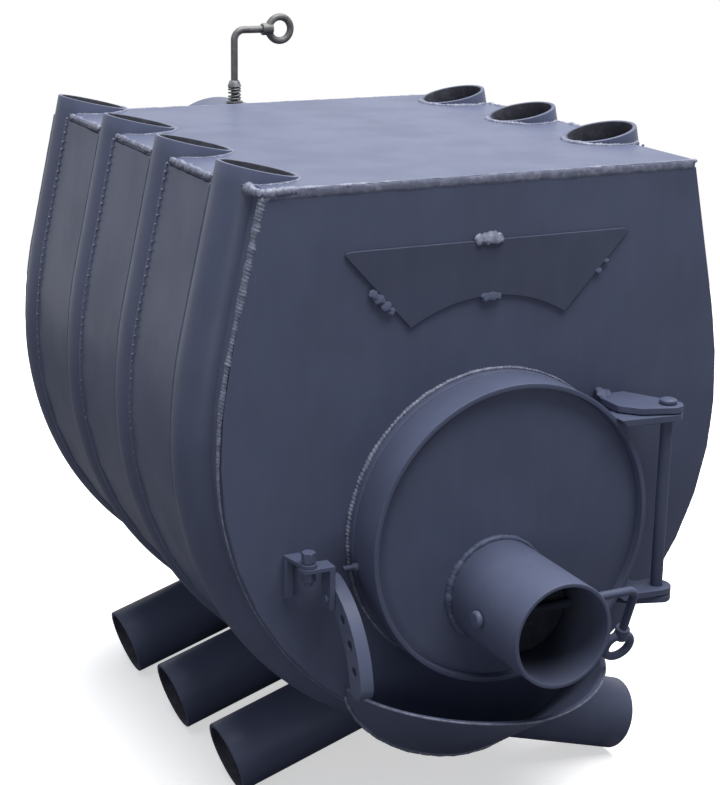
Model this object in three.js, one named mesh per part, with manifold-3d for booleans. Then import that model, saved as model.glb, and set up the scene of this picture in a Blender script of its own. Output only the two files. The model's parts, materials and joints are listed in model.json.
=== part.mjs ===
// Air-heating wood stove: bent heating tubes welded side by side into a firebox, with a round door in front,
// an ash lip under it and a flue pipe with a damper behind.
// Millimetres, X to the viewer's right, Y from the front plate towards the back, Z up from the floor.

import * as THREE from 'three';
import { mergeVertices } from 'three/addons/utils/BufferGeometryUtils.js';
import Module from 'manifold-3d';

const wasm = await Module();
wasm.setup();

const deg = Math.PI / 180;

// Driving dimensions shared by many pieces
const clearance = 0.3; // left between pieces that touch or are welded on the real stove
const overrun = 8; // how far a cutting body reaches past what it cuts
const roundSides = 48; // facets round the door, its frame and the flue
const pipeSides = 32; // facets round the air pipe and the dampers' discs
const smallSides = 12; // facets round a washer, a screw head or the hinge rod
const rodSides = 10; // facets round a thin rod
const holeCurveSteps = 5; // steps in each curve of a small hole's outline
const bendCurveSteps = 4; // steps in a rod's bend

// Heating tubes, 57 mm outside
const tubeRadius = 28.5;
const tubeWall = 3.5;
const tubeSides = 16;
const tubeGap = 1.5; // between a left tube and the right one beside it, where they cross
const leftTubes = 4;
const rightTubes = 3;
const firstTubeY = 46.5; // axis of the foremost tube, behind the front face
const beltHalfWidth = 190; // half width over the tube axes, where the stove is widest
const bendRadius = 225; // bend from the belt down to the leg
const shoulderRadius = 340; // bend from the belt up to the neck
const topTilt = 12.5 * deg; // lean of the straight upper end towards the middle
const legSlope = 17.5 * deg; // fall of the straight lower end to the far side
const topStraight = 122;
const legStraight = 199;
const bendSteps = 8;
const shoulderSteps = 2;

// Casing
const rearTubeProud = 7.5; // axis of the rearmost tube behind the back plate's rear face
const plateThickness = 5;
const topDrop = 6.8; // upper face of the top plate below the middle of the tubes' mouths
const casingOffset = 12; // how far the plates' edges lie outside the tube axes
const stripOffset = 24; // the same for the strips between two tubes
const stripThickness = 3;

// Baffle between the firebox and the afterburning chamber above it
const baffleDrop = 109; // its underside below the top plate's upper face
const baffleThickness = 4;
const baffleFront = 50;
const baffleLength = 250;
const baffleHoleRadius = 9;
const baffleHoleColumns = 4;
const baffleHoleRows = 4;
const baffleHoleSpreadShare = 0.8; // outer holes towards the baffle's edge
const railWidth = 18;
const railThickness = 4;
const railBite = 0.8; // how far a rail is let into the tubes
const railOutset = 7.5; // how far a rail reaches past the baffle's edge
const railFront = 24;
const railLength = 330;
const injectorRadius = 6;
const injectorBore = 4;
const injectorLength = 26;
const injectorRise = 48; // axis above the baffle

// Door and its frame
const doorX = 5;
const doorDrop = 65.7; // centre of the door below the belt, where the stove is widest
const frameOuterRadius = 112;
const frameWidth = 14; // from the frame's outline in to its opening
const frameDepth = 8;
const rimInset = 0.5; // of the door's rim behind the outline of the frame
const rimWall = 3.6;
const rimFrontY = -40;
const discThickness = 4;
const discRecess = 7; // rim lip in front of the disc's face
const sealRingWall = 3;
const sealProud = 0.2; // seal in front of the back edge of the rim, towards the frame
const shieldInset = 10; // of the heat shield inside the frame's opening
const shieldThickness = 3;
const shieldY = -5; // front face of the heat shield
const spacerRadius = 5;
const spacerInset = 18; // of a spacer's axis from the shield's edge
const spacerCount = 4;

// Hinge, all but the heights seen from above; Y from the front plate
const hingeReach = 13.5; // of the hinge's axis past the door's rim
const hingeY = -40;
const hingeRodRadius = 4.5;
const hingeHeadRadius = 6.5;
const hingeHeadHeight = 4;
const lugEndRadius = 11;
const lugThickness = 5;
const lugGap = 0.8;
const upperLugRise = 71.9; // underside of the upper door lug above the door's centre
const lowerLugDrop = 58.3; // upper face of the lower door lug below the door's centre
const frameLugInnerRun = 37; // from the hinge's axis in to the inner end of a frame lug on the front plate
const frameLugOuterRun = 12; // and to its outer end
const frameLugWaistY = -30;
const frameLugShoulderRun = 25;
const frameLugShoulderY = -43;
const doorLugRearY = -13;

// Air inlet pipe on the door
const airPipeRadius = 38;
const airPipeWall = 3;
const airPipeX = -10; // from the door's centre
const airPipeZ = -41.3;
const airPipeFrontY = -124;
const airShaftY = -76;
const airRodRadius = 3.2;
const airDiscGap = 2.4; // between the damper disc and the pipe's wall
const airDiscThickness = 2.5;
const airHandleReach = 81; // from the door's centre to the handle's arm
const airHandleBend = 7;
const airHandleLength = 40; // from the rod's axis to the eye's collar
const airHandleLean = 20 * deg; // the arm hangs turned back towards the stove
const eyeRadius = 10.6; // eye ring, to the middle of its rod
const eyeRodRadius = 3.2;
const eyeSides = 16;
const eyeRodSides = 8;
const eyeCollarRadius = 5.4;
const eyeCollarLength = 7;
const airScrewRadius = 6.5;
const airScrewHeight = 4;

// Latch on the left of the door, measured from its bolt's axis and the tongue's underside
const latchReach = 40.5; // of the bolt's axis past the door's rim
const latchBoltY = -21; // and from the front plate
const tongueDrop = 5.5; // tongue's underside below the door's centre
const latchPostX = -7;
const latchPostWidth = 6;
const latchPostDepth = 5;
const latchPostHeight = 28;
const tongueThickness = 2.6;
const tongueEndRadius = 6;
const boltRadius = 3;
const boltHeadAcross = 9;
const boltHeadHeight = 8;
const nutHeight = 7;
const boltEndProud = 3.5;
const swivelThickness = 2.6;
const swivelRadius = 7;
const swivelEarThickness = 4;
const swivelEarDrop = 32;
const handleLeftX = 17.5;
const handleThickness = 10;
const handleWidth = 18;
const handleArcRadius = 65.5;
const handlePivotY = -1.7;
const handlePivotDrop = 25.5;
const handleStartAngle = 15 * deg; // angles along the handle's arc, from straight above its centre
const handlePivotAngle = 25 * deg;
const handleEndAngle = 83 * deg;
const handleHoleRadius = 3.8;
const handleHoleCount = 3;
const handleHolePitch = 16.3 * deg;
const handlePinRadius = 3.6;
const handlePinProud = 2; // the pin's head beyond the swivel's ear
const catchRadius = 2;
const catchY = -12;
const catchDrop = 15.7; // below the door's centre
const catchReach = 10; // of the rod's tip past the door's rim

// Ash lip, a sheet bent to a half round and set on the plate at a slant
const lipX = -4; // centre of its rim
const lipDrop = 112.8; // rim below the door's centre
const lipHalfWidth = 104;
const lipReach = 104;
const lipDepth = 74.4; // rim to the lowest point on the plate
const lipWall = 3;
const lipRoundness = 1.75; // 2 gives an ellipse, 1 a triangle
const lipSteps = 32;

// Bare plate above the door
const badgeTopHalfWidth = 111;
const badgeDrop = 45.2; // its upper edge below the top plate's upper face
const badgeHeight = 57.4;
const badgeFootHalfWidth = 62;
const badgeArchRise = 17.5;
const badgeCorner = 5;
const badgeThickness = 2;

// Flue
const flueRadius = 60;
const flueWall = 3.5;
const flueDrop = 69.9; // axis below the top plate's upper face
const flueProjection = 118; // pipe's end behind the back plate's rear face
const flueShaftInset = 44; // damper's shaft before that end
const flueRodRadius = 3.2;
const flueDiscGap = 2.2;
const flueDiscThickness = 3;
const flueDiscNotch = 20; // draught notch, never closed
const flueHandleRise = 124.9; // above the flue's axis
const flueHandleBend = 9;
const flueHandleReach = 30;
const washerRadius = 7.5;
const washerThickness = 1.5;
const springRadius = 5.2; // to the middle of the wire
const springWireRadius = 0.8;
const springTurns = 4;
const springPitch = 2.3;
const springStepsPerTurn = 8;
const springWireSides = 5;
const coneHeight = 5.5;
const coneTopRadius = 4.2;
const coneFootRadius = 6.5;

// Sizes that follow from those above
const flatShare = Math.cos(Math.PI / tubeSides);
const footRise = (bendRadius + tubeRadius * flatShare) * Math.cos(legSlope);
const beltHeight = footRise + legStraight * Math.sin(legSlope);
const tubePitch = 2 * tubeRadius + tubeGap; // along the depth, left and right tubes taking turns
const rearTubeY = firstTubeY + 2 * tubePitch * (leftTubes - 1);
const casingDepth = rearTubeY - rearTubeProud; // front face of the front plate to the rear face of the back plate
const flueEndY = casingDepth + flueProjection;
const flueShaftY = flueEndY - flueShaftInset;
const topHeight = tubeLine(0)[0].z - topDrop;
const casingTop = topHeight - plateThickness - clearance; // upper edge of the plates under the top plate
const baffleHeight = topHeight - baffleDrop;
const railOuter = axisAt(baffleHeight) - tubeRadius + railBite; // outer edge of a rail
const baffleHalfWidth = railOuter - railOutset;
const injectorHeight = baffleHeight + baffleThickness + injectorRise;
const badgeTopHeight = topHeight - badgeDrop;
const badgeFootHeight = badgeTopHeight - badgeHeight;
const doorHeight = beltHeight - doorDrop;
const lipHeight = doorHeight - lipDrop;
const flueHeight = topHeight - flueDrop;
const halfChord = (offset) => Math.sqrt(tubeRadius ** 2 - (offset - stripThickness) ** 2);
const rimRadius = frameOuterRadius - rimInset;
const frameInnerRadius = frameOuterRadius - frameWidth;
const sealInnerRadius = frameInnerRadius;
const shieldRadius = frameInnerRadius - shieldInset;
const spacerCircle = shieldRadius - spacerInset;
const hingeX = rimRadius + hingeReach; // this and the next five, from the door's centre
const frameLugInner = hingeX - frameLugInnerRun;
const frameLugOuter = hingeX - frameLugOuterRun;
const frameLugShoulderX = hingeX - frameLugShoulderRun;
const latchBoltX = -rimRadius - latchReach;
const catchTipX = -rimRadius - catchReach;
const discFrontY = rimFrontY + discRecess;
const discBackY = discFrontY + discThickness;
const rimBackY = -frameDepth - clearance / 2 - sealProud;
const sealOuterRadius = rimRadius - rimWall - clearance;
const lowerLugFoot = -lowerLugDrop - lugThickness;
const swivelTop = -clearance;
const nutTop = swivelTop - swivelThickness - clearance;
const springFoot = flueRadius + 2 * clearance + washerThickness;
const springLength = springTurns * springPitch + 4 * springWireRadius;
const coneFoot = springFoot + springLength + clearance;

// Materials of the real pieces
const paint = new THREE.MeshStandardMaterial({ color: 0x4a4c5e, roughness: 0.55, metalness: 0.25 });
const bareSteel = new THREE.MeshStandardMaterial({ color: 0x5a5c66, roughness: 0.45, metalness: 0.7 });
const innerSteel = new THREE.MeshStandardMaterial({ color: 0x2c2c30, roughness: 0.85, metalness: 0.3 });
const ropeWhite = new THREE.MeshStandardMaterial({ color: 0xb9b4a6, roughness: 0.95, metalness: 0 });

// Mesh helpers

function cleaned(geometry) {
  let g = geometry.clone();
  g.deleteAttribute('normal');
  g.deleteAttribute('uv');
  g = mergeVertices(g, 1e-4);
  const p = g.attributes.position;
  const index = g.index.array;
  const [a, b, c] = [new THREE.Vector3(), new THREE.Vector3(), new THREE.Vector3()];
  let volume = 0;
  const kept = [];
  for (let i = 0; i < index.length; i += 3) {
    if (index[i] === index[i + 1] || index[i + 1] === index[i + 2] || index[i] === index[i + 2]) continue;
    kept.push(index[i], index[i + 1], index[i + 2]);
    a.fromBufferAttribute(p, index[i]);
    b.fromBufferAttribute(p, index[i + 1]);
    c.fromBufferAttribute(p, index[i + 2]);
    volume += a.dot(b.cross(c));
  }
  if (volume < 0) {
    for (let i = 0; i < kept.length; i += 3) [kept[i], kept[i + 1]] = [kept[i + 1], kept[i]];
  }
  g.setIndex(kept);
  return g;
}

function toSolid(geometry) {
  const g = cleaned(geometry);
  const mesh = new wasm.Mesh({
    numProp: 3,
    vertProperties: new Float32Array(g.attributes.position.array),
    triVerts: new Uint32Array(g.index.array),
  });
  mesh.merge();
  return new wasm.Manifold(mesh);
}

function toGeometry(solid) {
  const mesh = solid.getMesh();
  const g = new THREE.BufferGeometry();
  g.setAttribute('position', new THREE.BufferAttribute(mesh.vertProperties, 3));
  g.setIndex(new THREE.BufferAttribute(mesh.triVerts, 1));
  return g;
}

function cut(geometry, ...cutters) {
  return toGeometry(cutters.reduce((solid, cutter) => solid.subtract(toSolid(cutter)), toSolid(geometry)));
}

function join(...geometries) {
  return toGeometry(geometries.slice(1).reduce((solid, g) => solid.add(toSolid(g)), toSolid(geometries[0])));
}

// Plates: a flat outline given a thickness, across the depth, lying flat or along the depth

function acrossDepth(shape, frontY, thickness, curveSegments = holeCurveSteps) {
  const g = new THREE.ExtrudeGeometry(shape, { depth: thickness, bevelEnabled: false, curveSegments });
  return g.rotateX(Math.PI / 2).translate(0, frontY + thickness, 0);
}

function lying(shape, bottomZ, thickness, curveSegments = holeCurveSteps) {
  const g = new THREE.ExtrudeGeometry(shape, { depth: thickness, bevelEnabled: false, curveSegments });
  return g.translate(0, 0, bottomZ);
}

function alongDepth(shape, leftX, thickness, curveSegments = holeCurveSteps) {
  const g = new THREE.ExtrudeGeometry(shape, { depth: thickness, bevelEnabled: false, curveSegments });
  const turn = new THREE.Matrix4().makeBasis(
    new THREE.Vector3(0, 1, 0), new THREE.Vector3(0, 0, 1), new THREE.Vector3(1, 0, 0));
  return g.applyMatrix4(turn).translate(leftX, 0, 0);
}

function block(x0, x1, y0, y1, z0, z1) {
  return new THREE.BoxGeometry(x1 - x0, y1 - y0, z1 - z0)
    .translate((x0 + x1) / 2, (y0 + y1) / 2, (z0 + z1) / 2);
}

function cylinderX(radius, x0, x1, y = 0, z = 0, sides = rodSides) {
  return new THREE.CylinderGeometry(radius, radius, x1 - x0, sides)
    .rotateZ(Math.PI / 2)
    .translate((x0 + x1) / 2, y, z);
}

function cylinderY(radius, y0, y1, x = 0, z = 0, sides = roundSides) {
  return new THREE.CylinderGeometry(radius, radius, y1 - y0, sides).translate(x, (y0 + y1) / 2, z);
}

function cylinderZ(radius, z0, z1, x = 0, y = 0, sides = rodSides) {
  return new THREE.CylinderGeometry(radius, radius, z1 - z0, sides)
    .rotateX(Math.PI / 2)
    .translate(x, y, (z0 + z1) / 2);
}

// A ring turned about the depth axis, from its outer and inner radius and its two ends
function ringY(outer, inner, y0, y1, sides = roundSides) {
  const profile = [[inner, y0], [outer, y0], [outer, y1], [inner, y1], [inner, y0]];
  return new THREE.LatheGeometry(profile.map(([r, y]) => new THREE.Vector2(r, y)), sides);
}

// A round bar or tube swept along stations that lie in one plane. Each station has a point and a heading,
// and side is the plane's normal.
function swept(stations, side, radius, bore, sides) {
  const positions = [];
  const index = [];
  const walls = bore > 0 ? [radius, bore] : [radius];
  for (const r of walls) {
    for (const { point, heading } of stations) {
      const out = new THREE.Vector3().crossVectors(side, heading).normalize();
      for (let k = 0; k < sides; k += 1) {
        const a = ((k + 0.5) / sides) * 2 * Math.PI;
        const ring = point.clone().addScaledVector(out, r * Math.cos(a));
        positions.push(...ring.addScaledVector(side, r * Math.sin(a)));
      }
    }
  }
  const at = (wall, s, k) => (wall * stations.length + s) * sides + (k % sides);
  const last = stations.length - 1;
  const quad = (a, b, c, d) => index.push(a, b, c, a, c, d);
  for (let k = 0; k < sides; k += 1) {
    for (let s = 0; s < last; s += 1) {
      quad(at(0, s, k), at(0, s, k + 1), at(0, s + 1, k + 1), at(0, s + 1, k));
      if (bore > 0) quad(at(1, s, k + 1), at(1, s, k), at(1, s + 1, k), at(1, s + 1, k + 1));
    }
    if (bore > 0) {
      quad(at(0, 0, k + 1), at(0, 0, k), at(1, 0, k), at(1, 0, k + 1));
      quad(at(0, last, k), at(0, last, k + 1), at(1, last, k + 1), at(1, last, k));
    } else if (k > 0 && k < sides - 1) {
      index.push(at(0, 0, 0), at(0, 0, k + 1), at(0, 0, k));
      index.push(at(0, last, 0), at(0, last, k), at(0, last, k + 1));
    }
  }
  const g = new THREE.BufferGeometry();
  g.setAttribute('position', new THREE.Float32BufferAttribute(positions, 3));
  g.setIndex(index);
  return g;
}

// The tubes' line in half width u and height z, from the outlet at the top to the foot, or a line beside it
function tubeLine(offset) {
  const line = [];
  const arcPoint = (radius, angle) => ({
    u: beltHalfWidth - radius + (radius + offset) * Math.cos(angle),
    z: beltHeight + (radius + offset) * Math.sin(angle),
    du: Math.sin(angle),
    dz: -Math.cos(angle),
  });
  const start = arcPoint(shoulderRadius, topTilt);
  line.push({ ...start, u: start.u - topStraight * start.du, z: start.z - topStraight * start.dz });
  for (let i = 0; i < shoulderSteps; i += 1) {
    line.push(arcPoint(shoulderRadius, topTilt * (1 - i / shoulderSteps)));
  }
  for (let i = 0; i <= bendSteps; i += 1) {
    line.push(arcPoint(bendRadius, (legSlope - Math.PI / 2) * (i / bendSteps)));
  }
  const end = line[line.length - 1];
  line.push({ ...end, u: end.u + legStraight * end.du, z: end.z + legStraight * end.dz });
  return line;
}

// Half width over the tubes' axes at a height between their mouths and the belt
function axisAt(z) {
  const line = tubeLine(0);
  const next = line.findIndex((station, i) => i > 0 && station.z <= z);
  const [above, below] = [line[next - 1], line[next]];
  return above.u + (below.u - above.u) * ((above.z - z) / (above.z - below.z));
}

function tubeBody(hand, y, radius, bore, endRun = 0) {
  const stations = tubeLine(0).map(({ u, z, du, dz }) => ({
    point: new THREE.Vector3(hand * u, y, z),
    heading: new THREE.Vector3(hand * du, 0, dz),
  }));
  const last = stations.length - 1;
  stations[0].point.addScaledVector(stations[0].heading, -endRun);
  stations[last].point.addScaledVector(stations[last].heading, endRun);
  return swept(stations, new THREE.Vector3(0, 1, 0), radius, bore, tubeSides);
}

const leftTubeY = (i) => firstTubeY + 2 * tubePitch * i;
const rightTubeY = (i) => firstTubeY + tubePitch * (2 * i + 1);
const tubeCutter = (hand, y) => tubeBody(hand, y, tubeRadius + clearance, 0, overrun);
const leftCutters = () => Array.from({ length: leftTubes }, (_, i) => tubeCutter(-1, leftTubeY(i)));
const rightCutters = () => Array.from({ length: rightTubes }, (_, i) => tubeCutter(1, rightTubeY(i)));

// One side of the casing's outline, cut off level at the top and plumb at half width endU
function skinLine(offset, topZ, endU) {
  const line = tubeLine(offset);
  const mix = (a, b, share) => new THREE.Vector2(a.u + (b.u - a.u) * share, a.z + (b.z - a.z) * share);
  const points = [mix(line[0], line[1], (line[0].z - topZ) / (line[0].z - line[1].z))];
  for (let i = 1; i < line.length - 1; i += 1) points.push(new THREE.Vector2(line[i].u, line[i].z));
  const [a, b] = line.slice(-2);
  points.push(mix(a, b, (a.u - endU) / (a.u - b.u)));
  return points;
}

function casingShape() {
  const line = skinLine(casingOffset, casingTop, 0);
  const left = line.slice(0, -1).map((p) => new THREE.Vector2(-p.x, p.y));
  return new THREE.Shape([...line.reverse(), ...left]);
}

function circleHole(x, y, radius) {
  return new THREE.Path().absarc(x, y, radius, 0, 2 * Math.PI, true);
}

// Casing

// Front plate: the casing's outline with the doorway, carried down behind the ash lip
function frontPlate() {
  const shape = casingShape();
  shape.holes.push(circleHole(doorX, doorHeight, frameInnerRadius));
  const plate = acrossDepth(shape, 0, plateThickness, roundSides / 2);
  const apron = new THREE.Shape(lipCurve(lipHalfWidth, lipDepth));
  return join(plate, acrossDepth(apron, 0, plateThickness).translate(lipX, 0, lipHeight));
}

function backPlate() {
  const shape = casingShape();
  shape.holes.push(circleHole(0, flueHeight, flueRadius + clearance));
  const plate = acrossDepth(shape, casingDepth - plateThickness, plateThickness, roundSides / 2);
  return cut(plate, tubeCutter(-1, rearTubeY));
}

function topPlate() {
  const narrow = skinLine(casingOffset, topHeight, 0)[0].x;
  const wide = skinLine(stripOffset, topHeight, 0)[0].x;
  const shape = new THREE.Shape([
    [-narrow, 0], [narrow, 0],
    [narrow, rightTubeY(0)], [wide, rightTubeY(0)],
    [wide, rightTubeY(rightTubes - 1)], [narrow, rightTubeY(rightTubes - 1)],
    [narrow, casingDepth], [-wide, casingDepth],
    [-wide, leftTubeY(0)], [-narrow, leftTubeY(0)],
  ].map(([x, y]) => new THREE.Vector2(x, y)));
  return cut(lying(shape, topHeight - plateThickness, plateThickness), ...leftCutters(), ...rightCutters());
}

// A strip of casing between two tubes, or between a tube and a plate, cut back round the tubes that cross it
function sideStrip(hand, offset, frontY, backY, crossing) {
  const outer = skinLine(offset, casingTop, clearance);
  const inner = skinLine(offset - stripThickness, casingTop, clearance).reverse();
  const shape = new THREE.Shape([...outer, ...inner].map((p) => new THREE.Vector2(hand * p.x, p.y)));
  return cut(acrossDepth(shape, frontY, backY - frontY), ...crossing);
}

function bafflePlate() {
  const shape = new THREE.Shape([
    new THREE.Vector2(-baffleHalfWidth, baffleFront),
    new THREE.Vector2(baffleHalfWidth, baffleFront),
    new THREE.Vector2(baffleHalfWidth, baffleFront + baffleLength),
    new THREE.Vector2(-baffleHalfWidth, baffleFront + baffleLength),
  ]);
  for (let i = 0; i < baffleHoleColumns; i += 1) {
    for (let j = 0; j < baffleHoleRows; j += 1) {
      const x = baffleHalfWidth * ((2 * i + 1) / baffleHoleColumns - 1) * baffleHoleSpreadShare;
      const y = baffleFront + baffleLength * ((j + 0.5) / baffleHoleRows);
      shape.holes.push(circleHole(x, y, baffleHoleRadius));
    }
  }
  return lying(shape, baffleHeight, baffleThickness);
}

function baffleRail(hand) {
  const [x0, x1] = [hand * railOuter, hand * (railOuter - railWidth)].sort((a, b) => a - b);
  const top = baffleHeight - clearance;
  return cut(
    block(x0, x1, railFront, railFront + railLength, top - railThickness, top),
    ...(hand < 0 ? leftCutters() : rightCutters()));
}

function injector(hand, tubeY) {
  const axis = axisAt(injectorHeight);
  const inner = axis - tubeRadius - injectorLength;
  const [x0, x1] = [hand * inner, hand * axis].sort((a, b) => a - b);
  const outside = cylinderX(injectorRadius, x0, x1, tubeY, injectorHeight, smallSides);
  const bore = cylinderX(injectorBore, x0 - overrun, x1 + overrun, tubeY, injectorHeight, smallSides);
  return cut(outside, bore, tubeCutter(hand, tubeY));
}

// The lip's outline, flat in two directions: half a rounded curve hanging below a straight line
function lipCurve(halfWidth, depth) {
  const power = 2 / lipRoundness;
  return Array.from({ length: lipSteps + 1 }, (_, i) => {
    const angle = Math.PI * (1 + i / lipSteps);
    const [c, s] = [Math.cos(angle), Math.abs(Math.sin(angle))];
    return new THREE.Vector2(halfWidth * Math.sign(c) * Math.abs(c) ** power, -depth * s ** power);
  });
}

// Made flat at the rim, then drawn down and back at a slant and cut off at the plate
function ashLip() {
  const slant = Math.hypot(lipReach, lipDepth) / lipDepth;
  const outer = lipCurve(lipHalfWidth, lipReach);
  const inner = lipCurve(lipHalfWidth - lipWall, lipReach - lipWall * slant).reverse();
  const lean = new THREE.Matrix4().makeShear(0, 0, 0, 0, 0, -lipReach / lipDepth);
  const sheet = lying(new THREE.Shape([...outer, ...inner]), -lipDepth, lipDepth).applyMatrix4(lean);
  const reach = lipReach + overrun;
  return cut(sheet, block(-reach, reach, -clearance, reach, -reach, reach));
}

function badge() {
  const [wide, top, foot] = [badgeTopHalfWidth, badgeTopHeight, badgeFootHeight];
  const archRadius = (badgeFootHalfWidth ** 2 + badgeArchRise ** 2) / (2 * badgeArchRise);
  const archAngle = Math.asin(badgeFootHalfWidth / archRadius);
  const s = new THREE.Shape();
  s.moveTo(badgeFootHalfWidth, foot);
  s.lineTo(wide, top - badgeCorner);
  s.quadraticCurveTo(wide + badgeCorner, top, wide - badgeCorner, top);
  s.lineTo(badgeCorner - wide, top);
  s.quadraticCurveTo(-wide - badgeCorner, top, -wide, top - badgeCorner);
  s.lineTo(-badgeFootHalfWidth, foot);
  s.absarc(0, foot + badgeArchRise - archRadius, archRadius,
    Math.PI / 2 + archAngle, Math.PI / 2 - archAngle, true);
  return acrossDepth(s, -clearance - badgeThickness, badgeThickness, 2 * holeCurveSteps);
}

// Door, all about its own centre

function doorDisc() {
  const disc = cylinderY(sealOuterRadius, discFrontY, discBackY);
  const [front, back] = [discFrontY - overrun, discBackY + overrun];
  return cut(disc, cylinderY(airPipeRadius + clearance, front, back, airPipeX, airPipeZ, pipeSides));
}

function doorSeal() {
  return ringY(sealOuterRadius, sealInnerRadius, discBackY + clearance, rimBackY + sealProud);
}

function doorSealRing() {
  const outer = sealInnerRadius - clearance;
  return ringY(outer, outer - sealRingWall, discBackY + clearance, rimBackY - clearance);
}

function doorSpacer() {
  return cylinderY(spacerRadius, discBackY + clearance, shieldY - clearance, 0, 0, rodSides);
}

// Hinge lugs, drawn from above and cut to the round of the frame or the rim
function frameLug(footZ) {
  const s = new THREE.Shape();
  s.moveTo(frameLugInner, -clearance);
  s.lineTo(frameLugInner, frameLugWaistY);
  s.lineTo(frameLugShoulderX, frameLugShoulderY);
  s.lineTo(hingeX, hingeY - lugEndRadius);
  s.absarc(hingeX, hingeY, lugEndRadius, -Math.PI / 2, 0, false);
  s.lineTo(frameLugOuter, -clearance);
  s.holes.push(circleHole(hingeX, hingeY, hingeRodRadius + clearance));
  const front = rimFrontY - lugEndRadius - overrun;
  return cut(lying(s, footZ, lugThickness), cylinderY(frameOuterRadius + clearance, front, overrun));
}

function doorLug(footZ) {
  const s = new THREE.Shape();
  s.moveTo(0, doorLugRearY);
  s.lineTo(0, rimFrontY);
  s.lineTo(hingeX, hingeY - lugEndRadius);
  s.absarc(hingeX, hingeY, lugEndRadius, -Math.PI / 2, Math.PI / 2, false);
  s.holes.push(circleHole(hingeX, hingeY, hingeRodRadius + clearance));
  const front = rimFrontY - lugEndRadius - overrun;
  return cut(lying(s, footZ, lugThickness), cylinderY(rimRadius + clearance, front, overrun));
}

function hingeRod() {
  const foot = lowerLugFoot - lugGap - lugThickness;
  const headFoot = upperLugRise + 2 * lugThickness + lugGap + clearance;
  return join(
    cylinderZ(hingeRodRadius, foot, headFoot + hingeHeadHeight / 2, hingeX, hingeY, smallSides),
    cylinderZ(hingeHeadRadius, headFoot, headFoot + hingeHeadHeight, hingeX, hingeY, smallSides));
}

function catchRod() {
  const rod = cylinderX(catchRadius, catchTipX, -rimRadius + overrun, catchY, -catchDrop);
  return cut(rod, cylinderY(rimRadius + clearance, rimFrontY - overrun, overrun));
}

// Bent rod: a straight run along one direction, a quarter bend, and a straight run along the other
function bentRod(start, first, then, runs, bend, side, radius) {
  const stations = [{ point: start.clone(), heading: first.clone() }];
  const corner = start.clone().addScaledVector(first, runs[0]);
  const centre = corner.clone().addScaledVector(then, bend);
  for (let i = 0; i <= bendCurveSteps; i += 1) {
    const a = (i / bendCurveSteps) * (Math.PI / 2);
    stations.push({
      point: centre.clone()
        .addScaledVector(then, -bend * Math.cos(a))
        .addScaledVector(first, bend * Math.sin(a)),
      heading: first.clone().multiplyScalar(Math.cos(a)).addScaledVector(then, Math.sin(a)),
    });
  }
  const turned = stations[stations.length - 1].point.clone();
  stations.push({ point: turned.addScaledVector(then, runs[1]), heading: then.clone() });
  return swept(stations, side, radius, 0, rodSides);
}

function eye(x, z) {
  return new THREE.TorusGeometry(eyeRadius, eyeRodRadius, eyeRodSides, eyeSides)
    .rotateX(Math.PI / 2)
    .translate(x, 0, z);
}

// Air pipe and its damper, about the point where the damper's shaft crosses the pipe's axis

function airPipe() {
  const inner = airPipeRadius - airPipeWall;
  const pipe = ringY(airPipeRadius, inner, airPipeFrontY - airShaftY, discBackY - airShaftY, pipeSides);
  const reach = airPipeRadius + overrun;
  return cut(pipe, cylinderX(airRodRadius + clearance, -reach, reach));
}

function airDamperDisc() {
  const radius = airPipeRadius - airPipeWall - airDiscGap;
  const front = airRodRadius + clearance;
  return cylinderY(radius, front, front + airDiscThickness, 0, 0, pipeSides);
}

// Made with the arm straight down; the assembly turns it back
function airDamperRod() {
  const start = new THREE.Vector3(-airPipeRadius - clearance, 0, 0);
  const armX = airHandleReach - airPipeX;
  const runs = [armX - airHandleBend - start.x, airHandleLength - airHandleBend];
  const [right, down] = [new THREE.Vector3(1, 0, 0), new THREE.Vector3(0, 0, -1)];
  const rod = bentRod(start, right, down, runs, airHandleBend, new THREE.Vector3(0, 1, 0), airRodRadius);
  const collarFoot = -airHandleLength - eyeCollarLength;
  const collar = cylinderZ(eyeCollarRadius, collarFoot, airRodRadius - airHandleLength, armX);
  return join(rod, collar, eye(armX, collarFoot - eyeRadius + eyeRodRadius));
}

function airDamperScrew() {
  const x = -airPipeRadius - 2 * clearance;
  return cylinderX(airScrewRadius, x - airScrewHeight, x, 0, 0, smallSides);
}

// Latch, about its bolt's axis with the tongue's underside at zero

function latchPost() {
  const [left, right] = [latchPostX - latchPostWidth / 2, latchPostX + latchPostWidth / 2];
  const back = -latchBoltY - clearance;
  return block(left, right, back - latchPostDepth, back, -clearance - latchPostHeight, -clearance);
}

function latchTongue() {
  const plateY = -latchBoltY - clearance;
  const s = new THREE.Shape();
  s.moveTo(latchPostX - latchPostWidth / 2, plateY);
  s.lineTo(-tongueEndRadius, 0);
  s.absarc(0, 0, tongueEndRadius, Math.PI, 2 * Math.PI, false);
  s.lineTo(latchPostX + latchPostWidth / 2 + tongueEndRadius, plateY);
  s.holes.push(circleHole(0, 0, boltRadius + clearance));
  return lying(s, 0, tongueThickness);
}

function hexPrism(across, z0, z1) {
  return cylinderZ(across / 2 / Math.cos(Math.PI / 6), z0, z1, 0, 0, 6);
}

function latchBolt() {
  const headFoot = tongueThickness + clearance;
  const foot = nutTop - nutHeight - boltEndProud;
  return join(
    cylinderZ(boltRadius, foot, headFoot + boltHeadHeight / 2),
    hexPrism(boltHeadAcross, headFoot, headFoot + boltHeadHeight));
}

function latchNut() {
  const foot = nutTop - nutHeight;
  const bore = cylinderZ(boltRadius + clearance, foot - overrun, nutTop + overrun);
  return cut(hexPrism(boltHeadAcross, foot, nutTop), bore);
}

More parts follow.
